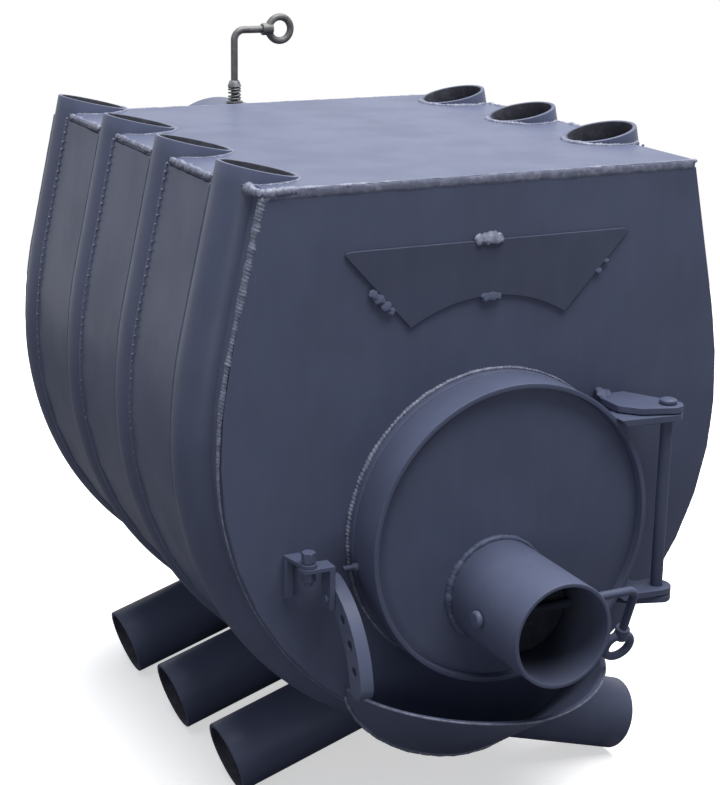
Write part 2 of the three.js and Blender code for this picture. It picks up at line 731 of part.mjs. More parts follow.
// A flat bar on the bolt with an ear turned down beside the handle
function latchSwivel() {
  const earRight = handleLeftX - clearance;
  const earLeft = earRight - swivelEarThickness;
  const s = new THREE.Shape();
  s.moveTo(0, -swivelRadius);
  s.lineTo(earRight, -swivelRadius);
  s.lineTo(earRight, swivelRadius);
  s.lineTo(0, swivelRadius);
  s.absarc(0, 0, swivelRadius, Math.PI / 2, (3 * Math.PI) / 2, false);
  s.holes.push(circleHole(0, 0, boltRadius + clearance));
  const bar = lying(s, swivelTop - swivelThickness, swivelThickness);
  const earTop = swivelTop - swivelThickness / 2;
  const ear = block(earLeft, earRight, -swivelRadius, swivelRadius, swivelTop - swivelEarDrop, earTop);
  const hole = cylinderX(handlePinRadius + clearance, earLeft - overrun, earRight + overrun);
  return cut(join(bar, ear), hole.translate(0, handlePivotY, -handlePivotDrop));
}

// The handle is a curved bar with a row of holes, made about its pivot
function latchHandle() {
  const centreY = handleArcRadius * Math.sin(handlePivotAngle);
  const centreZ = -handleArcRadius * Math.cos(handlePivotAngle);
  const arcPoint = (angle) =>
    [centreY - handleArcRadius * Math.sin(angle), centreZ + handleArcRadius * Math.cos(angle)];
  const half = handleWidth / 2;
  const [a0, a1] = [Math.PI / 2 + handleStartAngle, Math.PI / 2 + handleEndAngle];
  const s = new THREE.Shape();
  s.absarc(centreY, centreZ, handleArcRadius + half, a0, a1, false);
  s.absarc(...arcPoint(handleEndAngle), half, a1, a1 + Math.PI, false);
  s.absarc(centreY, centreZ, handleArcRadius - half, a1, a0, true);
  s.absarc(...arcPoint(handleStartAngle), half, a0 + Math.PI, a0 + 2 * Math.PI, false);
  s.holes.push(circleHole(0, 0, handlePinRadius + clearance));
  for (let i = 1; i <= handleHoleCount; i += 1) {
    s.holes.push(circleHole(...arcPoint(handlePivotAngle + i * handleHolePitch), handleHoleRadius));
  }
  return alongDepth(s, 0, handleThickness);
}

function latchPin() {
  const left = -clearance - swivelEarThickness - handlePinProud;
  return cylinderX(handlePinRadius, left, handleThickness - clearance);
}

// Flue, about the point where the damper's shaft crosses the pipe's axis

function fluePipe() {
  const front = casingDepth - plateThickness - flueShaftY;
  const pipe = ringY(flueRadius, flueRadius - flueWall, front, flueEndY - flueShaftY);
  const reach = flueRadius + overrun;
  return cut(pipe, cylinderZ(flueRodRadius + clearance, -reach, reach));
}

function flueDamperRod() {
  const [up, right] = [new THREE.Vector3(0, 0, 1), new THREE.Vector3(1, 0, 0)];
  const start = up.clone().multiplyScalar(-flueRadius);
  const runs = [flueHandleRise - flueHandleBend + flueRadius, flueHandleReach - flueHandleBend];
  const rod = bentRod(start, up, right, runs, flueHandleBend, new THREE.Vector3(0, 1, 0), flueRodRadius);
  const collarEnd = flueHandleReach + eyeCollarLength;
  const collar = cylinderX(eyeCollarRadius, flueHandleReach - flueRodRadius, collarEnd, 0, flueHandleRise);
  return join(rod, collar, eye(collarEnd + eyeRadius - eyeRodRadius, flueHandleRise));
}

function flueDamperDisc() {
  const radius = flueRadius - flueWall - flueDiscGap;
  const front = flueRodRadius + clearance;
  const back = front + flueDiscThickness;
  const notchTop = flueDiscNotch - radius;
  return cut(
    cylinderY(radius, front, back, 0, 0, pipeSides),
    block(-flueDiscNotch, flueDiscNotch, front - overrun, back + overrun, -radius - overrun, notchTop));
}

function flueWasher() {
  const foot = flueRadius + clearance;
  const top = foot + washerThickness;
  return cut(
    cylinderZ(washerRadius, foot, top, 0, 0, smallSides),
    cylinderZ(flueRodRadius + clearance, foot - overrun, top + overrun));
}

// Spring: wire wound round the rod as one unbroken tube, with a straight end up and down
function flueSpring() {
  const steps = springTurns * springStepsPerTurn;
  const stations = [];
  for (let i = 0; i <= steps; i += 1) {
    const a = (i / springStepsPerTurn) * 2 * Math.PI;
    const out = new THREE.Vector3(Math.cos(a), Math.sin(a), 0);
    const z = springFoot + 2 * springWireRadius + (i / springStepsPerTurn) * springPitch;
    const point = out.clone().multiplyScalar(springRadius).setZ(z);
    stations.push({ point, out, up: new THREE.Vector3(0, 0, 1) });
  }
  // The wire turns from level to upright at both ends, and its section turns with it
  const level = new THREE.Vector3(0, 1, 0);
  for (const [end, z] of [[stations[0], springFoot], [stations[steps], springFoot + springLength]]) {
    const straight = { point: end.point.clone().setZ(z), out: end.out, up: level.clone().negate() };
    end.up = end.up.clone().sub(level);
    if (end === stations[0]) stations.unshift(straight);
    else stations.push(straight);
  }
  printLeastGap(stations.map(({ point }) => point));
  const positions = [];
  const index = [];
  const n = springWireSides;
  for (const { point, out, up } of stations) {
    for (let k = 0; k < n; k += 1) {
      const t = (k / n) * 2 * Math.PI;
      const ring = point.clone().addScaledVector(out, springWireRadius * Math.cos(t));
      positions.push(...ring.addScaledVector(up, springWireRadius * Math.sin(t)));
    }
  }
  const last = (stations.length - 1) * n;
  for (let i = 0; i < last; i += n) {
    for (let k = 0; k < n; k += 1) {
      const [a, b] = [i + k, i + ((k + 1) % n)];
      index.push(a, b, b + n, a, b + n, a + n);
    }
  }
  for (let k = 1; k < n - 1; k += 1) index.push(0, k + 1, k, last, last + k, last + k + 1);
  const g = new THREE.BufferGeometry();
  g.setAttribute('position', new THREE.Float32BufferAttribute(positions, 3));
  g.setIndex(index);
  return g;
}

// The wire's least gap to itself, between points at least half a turn apart
function printLeastGap(points) {
  let least = Infinity;
  points.forEach((p, i) => points.slice(i + springStepsPerTurn / 2).forEach((q) => {
    least = Math.min(least, p.distanceTo(q) - 2 * springWireRadius);
  }));
  console.log(`spring, least gap to itself ${least.toFixed(2)} mm`);
}

function flueCone() {
  const top = coneFoot + coneHeight;
  const cone = new THREE.CylinderGeometry(coneTopRadius, coneFootRadius, coneHeight, smallSides)
    .rotateX(Math.PI / 2)
    .translate(0, 0, (coneFoot + top) / 2);
  return cut(cone, cylinderZ(flueRodRadius + clearance, coneFoot - overrun, top + overrun));
}

// Assembly: groups nested as the stove is, each placed from the one that carries it

function group(parent, x, y, z) {
  const g = new THREE.Group();
  g.position.set(x, y, z);
  parent.add(g);
  return g;
}

function add(parent, name, geometry, material = paint) {
  const mesh = new THREE.Mesh(cleaned(geometry), material);
  mesh.name = name;
  parent.add(mesh);
  return mesh;
}

const stove = new THREE.Group();

// Every heating tube is the same bent pipe; the left ones are turned half round
const heatingTube = tubeBody(1, 0, tubeRadius, tubeRadius - tubeWall);
for (let i = 0; i < leftTubes; i += 1) {
  const tube = add(stove, `left_tube_${i + 1}`, heatingTube);
  tube.position.y = leftTubeY(i);
  tube.rotation.z = Math.PI;
}
for (let i = 0; i < rightTubes; i += 1) {
  add(stove, `right_tube_${i + 1}`, heatingTube).position.y = rightTubeY(i);
}

add(stove, 'front_plate', frontPlate());
add(stove, 'back_plate', backPlate());
add(stove, 'top_plate', topPlate());

const besideTube = halfChord(stripOffset) + clearance; // from a tube's axis to a strip between two tubes
const besidePlate = halfChord(casingOffset) + clearance; // the same to a strip that runs on to a plate
const afterFront = plateThickness + clearance;
const beforeBack = casingDepth - plateThickness - clearance;
add(stove, 'left_strip_front', sideStrip(-1, casingOffset, afterFront, leftTubeY(0) - besidePlate, []));
for (let i = 0; i < leftTubes - 1; i += 1) {
  const ends = [leftTubeY(i) + besideTube, leftTubeY(i + 1) - besideTube];
  add(stove, `left_strip_${i + 1}`, sideStrip(-1, stripOffset, ...ends, [tubeCutter(1, rightTubeY(i))]));
}
const frontEnds = [afterFront, rightTubeY(0) - besidePlate];
add(stove, 'right_strip_front', sideStrip(1, casingOffset, ...frontEnds, [tubeCutter(-1, leftTubeY(0))]));
for (let i = 0; i < rightTubes - 1; i += 1) {
  const ends = [rightTubeY(i) + besideTube, rightTubeY(i + 1) - besideTube];
  add(stove, `right_strip_${i + 1}`, sideStrip(1, stripOffset, ...ends, [tubeCutter(-1, leftTubeY(i + 1))]));
}
const rearEnds = [rightTubeY(rightTubes - 1) + besidePlate, beforeBack];
add(stove, 'right_strip_rear', sideStrip(1, casingOffset, ...rearEnds, [tubeCutter(-1, rearTubeY)]));

add(stove, 'baffle_plate', bafflePlate(), innerSteel);
add(stove, 'baffle_rail_left', baffleRail(-1), innerSteel);
add(stove, 'baffle_rail_right', baffleRail(1), innerSteel);
add(stove, 'injector_left', injector(-1, leftTubeY(0)), innerSteel);
add(stove, 'injector_right', injector(1, rightTubeY(0)), innerSteel);
add(stove, 'badge_plate', badge());
add(stove, 'ash_lip', ashLip()).position.set(lipX, 0, lipHeight);

const doorway = group(stove, doorX, 0, doorHeight);
add(doorway, 'door_frame', ringY(frameOuterRadius, frameInnerRadius, -frameDepth, -clearance));
add(doorway, 'frame_lug_upper', frameLug(upperLugRise + lugThickness + lugGap));
add(doorway, 'frame_lug_lower', frameLug(lowerLugFoot - lugGap - lugThickness));
add(doorway, 'hinge_rod', hingeRod(), bareSteel);

const door = group(doorway, 0, 0, 0);
add(door, 'door_rim', ringY(rimRadius, rimRadius - rimWall, rimFrontY, rimBackY));
add(door, 'door_disc', doorDisc());
add(door, 'door_seal_ring', doorSealRing(), innerSteel);
add(door, 'door_seal', doorSeal(), ropeWhite);
add(door, 'door_shield', cylinderY(shieldRadius, shieldY, shieldY + shieldThickness), innerSteel);
for (let i = 0; i < spacerCount; i += 1) {
  const a = ((i + 0.5) / spacerCount) * 2 * Math.PI;
  const spacer = add(door, `door_spacer_${i + 1}`, doorSpacer(), innerSteel);
  spacer.position.set(spacerCircle * Math.cos(a), 0, spacerCircle * Math.sin(a));
}
add(door, 'door_lug_upper', doorLug(upperLugRise));
add(door, 'door_lug_lower', doorLug(lowerLugFoot));
add(door, 'catch_rod', catchRod());

const airInlet = group(door, airPipeX, airShaftY, airPipeZ);
add(airInlet, 'air_pipe', airPipe());
add(airInlet, 'air_damper_disc', airDamperDisc(), innerSteel);
add(airInlet, 'air_damper_rod', airDamperRod()).rotation.x = airHandleLean;
add(airInlet, 'air_damper_screw', airDamperScrew(), bareSteel);

const latch = group(doorway, latchBoltX, latchBoltY, -tongueDrop);
add(latch, 'latch_post', latchPost());
add(latch, 'latch_tongue', latchTongue());
add(latch, 'latch_bolt', latchBolt(), bareSteel);
add(latch, 'latch_nut', latchNut(), bareSteel);
add(latch, 'latch_swivel', latchSwivel());
const latchPivot = group(latch, handleLeftX, handlePivotY, -handlePivotDrop);
add(latchPivot, 'latch_handle', latchHandle());
add(latchPivot, 'latch_pin', latchPin(), bareSteel);

const flue = group(stove, 0, flueShaftY, flueHeight);
add(flue, 'flue_pipe', fluePipe());
add(flue, 'flue_damper_disc', flueDamperDisc(), innerSteel);
add(flue, 'flue_damper_rod', flueDamperRod());
add(flue, 'flue_washer', flueWasher(), bareSteel);
add(flue, 'flue_spring', flueSpring(), bareSteel);
add(flue, 'flue_cone', flueCone(), bareSteel);

// The origin stands on the floor, midway between the air pipe's mouth and the flue's end
stove.position.y = -(airPipeFrontY + flueEndY) / 2;

export default stove;
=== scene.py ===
import json
from math import radians

import bmesh
import bpy
import numpy as np
from mathutils import Matrix, Vector

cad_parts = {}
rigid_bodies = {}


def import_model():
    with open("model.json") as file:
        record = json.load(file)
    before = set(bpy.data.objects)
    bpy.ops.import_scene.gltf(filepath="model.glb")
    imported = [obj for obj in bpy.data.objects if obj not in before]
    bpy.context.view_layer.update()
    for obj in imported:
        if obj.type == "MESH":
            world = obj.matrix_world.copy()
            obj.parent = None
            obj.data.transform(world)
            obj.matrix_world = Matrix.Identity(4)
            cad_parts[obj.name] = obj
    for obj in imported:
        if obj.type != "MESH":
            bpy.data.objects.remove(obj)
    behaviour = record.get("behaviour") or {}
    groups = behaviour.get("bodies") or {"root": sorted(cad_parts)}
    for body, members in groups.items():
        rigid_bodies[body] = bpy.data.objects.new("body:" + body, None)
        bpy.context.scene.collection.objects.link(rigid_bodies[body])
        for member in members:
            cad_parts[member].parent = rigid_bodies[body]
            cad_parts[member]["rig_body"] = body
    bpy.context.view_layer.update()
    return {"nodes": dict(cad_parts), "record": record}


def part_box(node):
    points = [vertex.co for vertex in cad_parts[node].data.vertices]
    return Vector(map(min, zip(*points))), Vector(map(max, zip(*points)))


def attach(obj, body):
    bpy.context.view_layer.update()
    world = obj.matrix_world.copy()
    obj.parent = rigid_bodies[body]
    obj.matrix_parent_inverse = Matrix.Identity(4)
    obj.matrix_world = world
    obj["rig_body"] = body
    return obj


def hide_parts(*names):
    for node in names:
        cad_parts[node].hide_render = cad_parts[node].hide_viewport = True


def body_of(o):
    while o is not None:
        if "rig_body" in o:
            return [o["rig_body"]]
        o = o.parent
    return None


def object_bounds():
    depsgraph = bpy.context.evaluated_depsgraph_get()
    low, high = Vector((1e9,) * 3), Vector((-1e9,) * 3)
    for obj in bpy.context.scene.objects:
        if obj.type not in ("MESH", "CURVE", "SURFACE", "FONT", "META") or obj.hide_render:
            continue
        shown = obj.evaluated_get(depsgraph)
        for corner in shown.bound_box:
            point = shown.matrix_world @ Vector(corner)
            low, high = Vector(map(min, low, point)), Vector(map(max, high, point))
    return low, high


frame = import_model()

# Lengths below are millimetres in the frame's own axes: X to the right, Y from the door to the flue, Z up.
millimetre = 0.001
slotOf = {part["node"]: part["material_slot"] for part in frame["record"]["subparts"]}
print("frame loaded:", len(frame["nodes"]), "nodes")


def operator(operation, swapped=False):
    def apply(wire, other):
        return wire.combined(operation, *((other, wire) if swapped else (wire, other)))
    return apply


class Wire:  # one socket of a node tree, with arithmetic that adds the nodes it needs
    __add__, __radd__ = operator("ADD"), operator("ADD", True)
    __sub__, __rsub__ = operator("SUBTRACT"), operator("SUBTRACT", True)
    __mul__ = __rmul__ = operator("MULTIPLY")
    least, most = operator("MINIMUM"), operator("MAXIMUM")

    def __init__(self, tree, socket):
        self.tree = tree
        self.socket = socket

    def combined(self, operation, *values):
        kinds = [value.socket.type if isinstance(value, Wire) else type(value) for value in values]
        wide = any(kind in ("VECTOR", "RGBA", tuple) for kind in kinds)
        if wide:
            values = [(value,) * 3 if isinstance(value, (int, float)) else value for value in values]
        name = "VectorMath" if wide else "Math"
        return self.tree.add(name, {"operation": operation}, dict(enumerate(values)))

    def __abs__(self):
        return self.combined("ABSOLUTE", self)

    def sine(self):
        return self.combined("SINE", self)

    def root(self):
        return self.combined("SQRT", self)

    def part(self, name):
        split = self.tree.nodes.new("ShaderNodeSeparateXYZ")
        self.tree.links.new(self.socket, split.inputs[0])
        return Wire(self.tree, split.outputs[name])

    def ramp(self, low, high):  # 0 below low, 1 above high, smooth between
        return self.tree.add("MapRange", {"interpolation_type": "SMOOTHSTEP"},
                             {"Value": self, "From Min": low, "From Max": high, "To Min": 0.0, "To Max": 1.0})

    def blend(self, first, second):  # this wire as the share of the second colour
        values = {"Factor": self, 6: first, 7: second}
        return self.tree.add("Mix", {"data_type": "RGBA"}, values)


class Finish:  # a material's node tree
    def __init__(self, owner):
        self.owner = owner
        owner.use_nodes = True
        self.nodes = owner.node_tree.nodes
        self.links = owner.node_tree.links
        self.nodes.clear()

    # Adds a node: its settings first, then the value or wire of each input socket
    def add(self, kind, settings=None, values=None, output=0):
        node = self.nodes.new("ShaderNode" + kind)
        for name, value in (settings or {}).items():
            setattr(node, name, value)
        for key, value in (values or {}).items():
            socket = node.inputs[key]
            if isinstance(value, Wire):
                self.links.new(value.socket, socket)
            elif socket.type == "RGBA" and len(value) == 3:
                socket.default_value = (*value, 1)
            else:
                socket.default_value = value
        if kind == "Mix":
            return Wire(self, node.outputs[2])
        return Wire(self, node.outputs[output]) if node.outputs else node

    def place(self):  # Object coordinates, in metres in the frame
        return self.add("TexCoord", output="Object")

    def noise(self, place, size, detail=3.0, roughness=0.5):  # size of its patches in millimetres
        values = {"Vector": place, "Scale": 1 / (size * millimetre), "Detail": detail, "Roughness": roughness}
        return self.add("TexNoise", {}, values)

    def bump(self, height, strength, distance):
        values = {"Height": height, "Strength": strength, "Distance": distance * millimetre}
        return self.add("Bump", {}, values, "Normal")

    def surface(self, values):
        shader = self.add("BsdfPrincipled", {}, values)
        self.add("OutputMaterial", {}, {"Surface": shader})
        return self.owner


def newFinish(name):
    return Finish(bpy.data.materials.new(name))


paintLook = {
    "colour": (0.082, 0.096, 0.156),
    "shade": (0.070, 0.082, 0.134),  # in the mottles
    "dust": (0.16, 0.175, 0.24),  # pale specks
    "roughness": 0.42,
    "specular": 0.13,
    "coat": 0.06,
    "coatRoughness": 0.22,
    "grain": 1.6,  # size of the spray grain
    "grainDepth": 0.05,
    # dark matt colour of the soot in the firebox, and of the painted shade inside the pipes
    "sootAndShade": (0.030, 0.028, 0.027),
    "sootAndShadeRoughness": 0.9,
}


# In metres: each pipe's axis, bore, mouth, where its painted shade (soot too in the flue) is full, and root
airPipeShade = {
    "x": -0.005, "z": 0.1941, "bore": 0.0352, "mouth": -0.330, "full": -0.262, "root": -0.212, "share": 0.5,
}
fluePipeShadeAndSoot = {
    "x": 0.0, "z": 0.4171, "bore": 0.0568, "mouth": 0.330, "full": 0.260, "root": 0.196, "share": 0.9,
}
pipeShadeAndSootEdge = {"bore": 0.0006, "root": 0.001}  # widths over which it ends


# Share of painted shade inside a pipe along Y, which in the flue pipe stands for soot too: none at its
# mouth, more and more up to where it is full, none beyond the pipe's root
def pipeShadeAndSoot(place, sizes):
    across, height = place.part("X") - sizes["x"], place.part("Z") - sizes["z"]
    reach = (across * across + height * height).root()
    within = 1 - reach.ramp(sizes["bore"], sizes["bore"] + pipeShadeAndSootEdge["bore"])
    inward = 1 if sizes["full"] > sizes["mouth"] else -1
    run = place.part("Y") * inward
    mouth, full, root = (sizes[key] * inward for key in ("mouth", "full", "root"))
    return within * run.ramp(mouth, full) * (1 - run.ramp(root, root + pipeShadeAndSootEdge["root"])) * sizes["share"]


firebox = {  # in metres, for the soot
    "bendCentre": 0.035,  # centre of the bend past the middle plane
    "belt": 0.3011, "beltBlend": (0.3010, 0.3012),
    "midline": 0.2475,  # middle of the strips' thickness from the bend's centre
    "plateInset": 0.0120,  # how much nearer the strips beside the plates lie
    "midlineBlend": 0.0005,
    "shoulderRise": 0.0736, "shoulderShare": 1.47, "neckShare": 0.2217,
    "sideBlend": (-0.001, 0.001),
    "leftStrips": (-0.1455, -0.1454), "rightStrips": (-0.0871, -0.0870), "rightRear": (0.1470, 0.1471),
    "front": (-0.1900, -0.1888), "rear": (0.1942, 0.1955), "top": (0.4828, 0.4846),
}


# Share of soot: one inside the firebox, between the plates, under the top plate and nearer to the middle
# than the strips' midline. Below the belt that line is a circle about the bend's centre; above it the
# distance gains the shoulder's share of the rise squared up to the neck, and the neck's share of the height
# from there. The strips beside the plates lie further in.
def sootShare(place):
    side, depth, height = place.part("X"), place.part("Y"), place.part("Z")
    across = abs(side) + firebox["bendCentre"]
    fromBelt = height - firebox["belt"]
    rise = fromBelt.most(0.0)
    bent = rise.least(firebox["shoulderRise"])
    below = (across * across + fromBelt * fromBelt).root()
    above = across + bent * bent * firebox["shoulderShare"]
    above = above + (rise - firebox["shoulderRise"]).most(0.0) * firebox["neckShare"]
    reach = height.ramp(*firebox["beltBlend"])
    onRight = side.ramp(*firebox["sideBlend"])
    leftStrips, rightStrips = depth.ramp(*firebox["leftStrips"]), depth.ramp(*firebox["rightStrips"])
    front = 1 - leftStrips * (1 - onRight) - rightStrips * onRight
    rear = depth.ramp(*firebox["rightRear"]) * onRight
    limit = firebox["midline"] - (front + rear).least(1.0) * firebox["plateInset"]
    blend = firebox["midlineBlend"]
    inside = 1 - (reach * above + (1 - reach) * below - limit).ramp(-blend, blend)
    between = depth.ramp(*firebox["front"]) * (1 - depth.ramp(*firebox["rear"]))
    return inside * between * (1 - height.ramp(*firebox["top"]))


def makePaint(name, tone):  # tone scales the paint's two main colours
    finish, look = newFinish(name), paintLook
    place = finish.place()
    mottle = finish.noise(place, 55, 4.0).ramp(0.35, 0.68)
    speck = finish.noise(place, 1.1, 2.0).ramp(0.69, 0.80)
    dust = finish.noise(place, 24, 2.0).ramp(0.45, 0.75)
    streak = finish.noise(place * (1.0, 1.0, 0.22), 9, 3.0).ramp(0.4, 0.75)
    # soot inside the firebox, with painted shade deepening into the air and flue pipes
    sootAndShade = sootShare(place).most(pipeShadeAndSoot(place, airPipeShade)).most(pipeShadeAndSoot(place, fluePipeShadeAndSoot))
    main, shade = ([value * tone for value in look[key]] for key in ("colour", "shade"))
    colour = (mottle * 0.8).blend(main, shade)
    colour = (streak * 0.05).blend(colour, look["dust"])
    colour = (speck * dust * 0.35).blend(colour, look["dust"])
    colour = sootAndShade.blend(colour, look["sootAndShade"])
    grain = finish.noise(place, look["grain"], 2.0)
    wave = finish.noise(place, 14, 1.0)
    roughness = look["roughness"] + mottle * 0.06 + speck * dust * 0.2
    roughness = roughness + sootAndShade * (look["sootAndShadeRoughness"] - look["roughness"])
    return finish.surface({
        "Base Color": colour, "Roughness": roughness, "Specular IOR Level": look["specular"],
        "Coat Weight": (1 - sootAndShade) * look["coat"], "Coat Roughness": look["coatRoughness"],
        "Normal": finish.bump(grain + wave * 0.5, 0.35, look["grainDepth"] * 2)})


weldLook = {
    "colour": (0.110, 0.123, 0.182),
    "crest": (0.24, 0.255, 0.33),  # painted highlight in lighter patches, in place of light on the ripples' tops
    "shade": (0.05, 0.057, 0.09),  # painted shade in the hollows
    "roughness": 0.46,
    "specular": 0.4,
}


def makeWeld():
    finish = newFinish("paintedWeld")
    place = finish.place()
    patch = finish.noise(place, 5, 3.0).ramp(0.42, 0.66)
    crest = finish.noise(place, 1.4, 3.0, 0.6)
    # lighter patches of painted highlight
    colour = (patch * 0.6).blend(weldLook["colour"], weldLook["crest"])
    # painted shade in the hollows, where the ripple noise is low
    colour = ((1 - crest.ramp(0.30, 0.46)) * 0.6).blend(colour, weldLook["shade"])
    return finish.surface({
        "Base Color": colour, "Roughness": weldLook["roughness"] - patch * 0.12,
        "Specular IOR Level": weldLook["specular"],
        "Normal": finish.bump(crest, 0.5, 0.5)})


fastenerLook = {
    "colour": (0.115, 0.118, 0.13), "bright": (0.30, 0.31, 0.33), "roughness": 0.38, "metallic": 0.6,
}
rodLook = {
    "colour": (0.085, 0.086, 0.088), "bright": (0.16, 0.16, 0.165), "roughness": 0.42, "metallic": 0.35,
}


def makeSteel(name, look):
    finish = newFinish(name)
    place = finish.place()
    stain = finish.noise(place, 6, 4.0).ramp(0.4, 0.7)
    scratch = finish.noise(place, 0.7, 2.0)
    return finish.surface({
        "Base Color": (stain * 0.6).blend(look["colour"], look["bright"]),
        "Roughness": look["roughness"] + stain * 0.14, "Metallic": look["metallic"],
        "Normal": finish.bump(scratch, 0.25, 0.08)})


innerLook = {
    "colour": (0.022, 0.024, 0.036), "scale": (0.040, 0.043, 0.060), "roughness": 0.7, "specular": 0.35,
}


def makeInner():
    finish = newFinish("scaledSteel")
    place = finish.place()
    flake = finish.noise(place, 7, 5.0, 0.62)
    colour = flake.ramp(0.48, 0.62).blend(innerLook["colour"], innerLook["scale"])
    return finish.surface({
        "Base Color": colour, "Roughness": innerLook["roughness"],
        "Specular IOR Level": innerLook["specular"], "Normal": finish.bump(flake, 0.4, 0.3)})


ropeLook = {
    # the groove colour is painted shade between the strands
    "colour": (0.50, 0.475, 0.41), "grooveShade": (0.14, 0.125, 0.10), "roughness": 0.92,
    "centre": (0.005, 0.2354),  # of the door, in metres
    "strands": 150, "slant": 900,  # turn of a strand per metre of depth or radius
}


# Braid on the seal: two sets of slanting strands round the door's centre, height = |sin(angle·strands ±
# depth)|, with painted shade in the grooves between them
def makeRope():
    finish = newFinish("sealRope")
    place = finish.place()
    across, height = place.part("X") - ropeLook["centre"][0], place.part("Z") - ropeLook["centre"][1]
    angle = finish.add("Math", {"operation": "ARCTAN2"}, {0: height, 1: across})
    radius = (across * across + height * height).root()
    slant = (place.part("Y") + radius) * ropeLook["slant"]
    turn = angle * ropeLook["strands"]
    strand = abs((turn + slant).sine()).least(abs((turn - slant).sine()))
    fuzz = finish.noise(place, 0.8, 3.0)
    # share of the strand colour; the rest is painted shade in the grooves
    share = strand.ramp(0.02, 0.35)
    return finish.surface({
        "Base Color": share.blend(ropeLook["grooveShade"], ropeLook["colour"]), "Roughness": ropeLook["roughness"],
        "Normal": finish.bump(strand + fuzz * 0.5, 0.8, 0.8)})


paint = makePaint("stovePaint", 1.0)
badgePaint = makePaint("badgePaint", 0.74)
weld = makeWeld()
fastener = makeSteel("dullFastener", fastenerLook)
darkRod = makeSteel("darkRod", rodLook)
innerSteel = makeInner()
rope = makeRope()
finishOf = {"paint": paint, "bare_steel": fastener, "scaled_steel": innerSteel, "rope": rope}
print("finishes made")


# Quads between the neighbouring points of a grid (rows, columns, 3), closed along either way if asked
def gridSurface(points, closeRows=True, closeColumns=True):
    rows, columns = points.shape[:2]
    index = np.arange(rows * columns).reshape(rows, columns)
    if closeRows:
        index = np.vstack([index, index[:1]])
    if closeColumns:
        index = np.hstack([index, index[:, :1]])
    quads = np.stack([index[:-1, :-1], index[1:, :-1], index[1:, 1:], index[:-1, 1:]], -1)
    return points.reshape(-1, 3), quads.reshape(-1, 4)


def joined(surfaces):
    counts = np.cumsum([0] + [len(points) for points, _ in surfaces[:-1]])
    points = np.vstack([points for points, _ in surfaces])
    quads = np.vstack([quads + count for (_, quads), count in zip(surfaces, counts)])
    return points, quads


def circle(count):  # angles
    return np.linspace(0, 2 * np.pi, count, endpoint=False)


def unit(vectors):
    return vectors / np.linalg.norm(vectors, axis=-1, keepdims=True)


# Rounds an outline's corners: corner p becomes the curve (1-t)^2 a + 2t(1-t) p + t^2 b from a to b, one
# radius before and after it
def softened(outline, radius, steps=3, closed=True):
    p = np.asarray(outline, float)
    before, after = np.roll(p, 1, 0) - p, np.roll(p, -1, 0) - p
    runBefore = np.linalg.norm(before, axis=1, keepdims=True)
    runAfter = np.linalg.norm(after, axis=1, keepdims=True)
    most = 0.45  # share of a side that one corner may take
    a = p + before / runBefore * np.minimum(radius, runBefore * most)
    b = p + after / runAfter * np.minimum(radius, runAfter * most)
    t = np.linspace(0, 1, steps + 1)[None, :, None]
    curve = (1 - t) ** 2 * a[:, None] + 2 * t * (1 - t) * p[:, None] + t ** 2 * b[:, None]
    if closed:
        return curve.reshape(-1, 2)
    return np.vstack([p[:1], curve[1:-1].reshape(-1, 2), p[-1:]])


def ringProfile(outer, inner, low, high, edge):
    return softened([(outer, low), (outer, high), (inner, high), (inner, low)], edge)


def solidProfile(outline, edge):  # of a solid piece, from the axis out and back
    return softened(outline, edge, closed=False)


# Turns a profile of (radius, run along the axis) about an axis:
# point = centre + run·axis + radius·(cos·side + sin·up). One that starts on the axis isn't closed.
def turned(profile, centre, axis, side, segments=96):
    axis, side = np.asarray(axis, float), np.asarray(side, float)
    up = np.cross(axis, side)
    angle = circle(segments)[None, :, None]
    spokes = np.cos(angle) * side + np.sin(angle) * up
    profile = np.asarray(profile, float)[:, None, :]
    points = np.asarray(centre, float) + profile[..., 1:] * axis + profile[..., :1] * spokes
    return gridSurface(points, profile[0, 0, 0] > 0)


def turnedY(profile, x, z, segments=96):
    return turned(profile, (x, 0, z), (0, 1, 0), (0, 0, 1), segments)


def turnedZ(profile, x, y, segments=40):
    return turned(profile, (x, y, 0), (0, 0, 1), (1, 0, 0), segments)


# Carries a round section along a path: point = path(s) + radius·(cos·side(s) + sin·up(s)), with rounded
# edges at both ends, which are drawn in to a point
def sweptRod(path, sides, ups, radius, around=20, edge=0.5):
    path, sides, ups = (np.asarray(values, float) for values in (path, sides, ups))
    heading = unit(np.gradient(path, axis=0))
    rounding = edge * 0.3
    first, last = path[0] + heading[0] * rounding, path[-1] - heading[-1] * rounding
    path = np.vstack([path[:1], path[:1], first, path[1:-1], last, path[-1:], path[-1:]])
    ends = np.concatenate([[0, 0], np.arange(len(sides)), [-1, -1]])
    sides, ups = sides[ends], ups[ends]
    radii = np.full(len(path), float(radius))
    radii[[0, -1]], radii[[1, -2]] = 0, radius - edge
    angle = circle(around)[None, :, None]
    spokes = np.cos(angle) * sides[:, None] + np.sin(angle) * ups[:, None]
    return gridSurface(path[:, None] + radii[:, None, None] * spokes, False)


# Faces turned outward and shaded smooth, but for edges sharper than the angle
def finishMesh(mesh, sharpAngle, dissolve=False):
    form = bmesh.new()
    form.from_mesh(mesh)
    bmesh.ops.remove_doubles(form, verts=form.verts, dist=2e-6)
    if dissolve:
        bmesh.ops.dissolve_limit(form, angle_limit=radians(0.6), verts=form.verts, edges=form.edges)
    bmesh.ops.recalc_face_normals(form, faces=form.faces)
    form.to_mesh(mesh)
    form.free()
    mesh.shade_smooth()
    mesh.set_sharp_from_angle(angle=radians(sharpAngle))
    mesh.update()


def addObject(name, data):
    added = bpy.data.objects.new(name, data)
    bpy.context.scene.collection.objects.link(added)
    return added


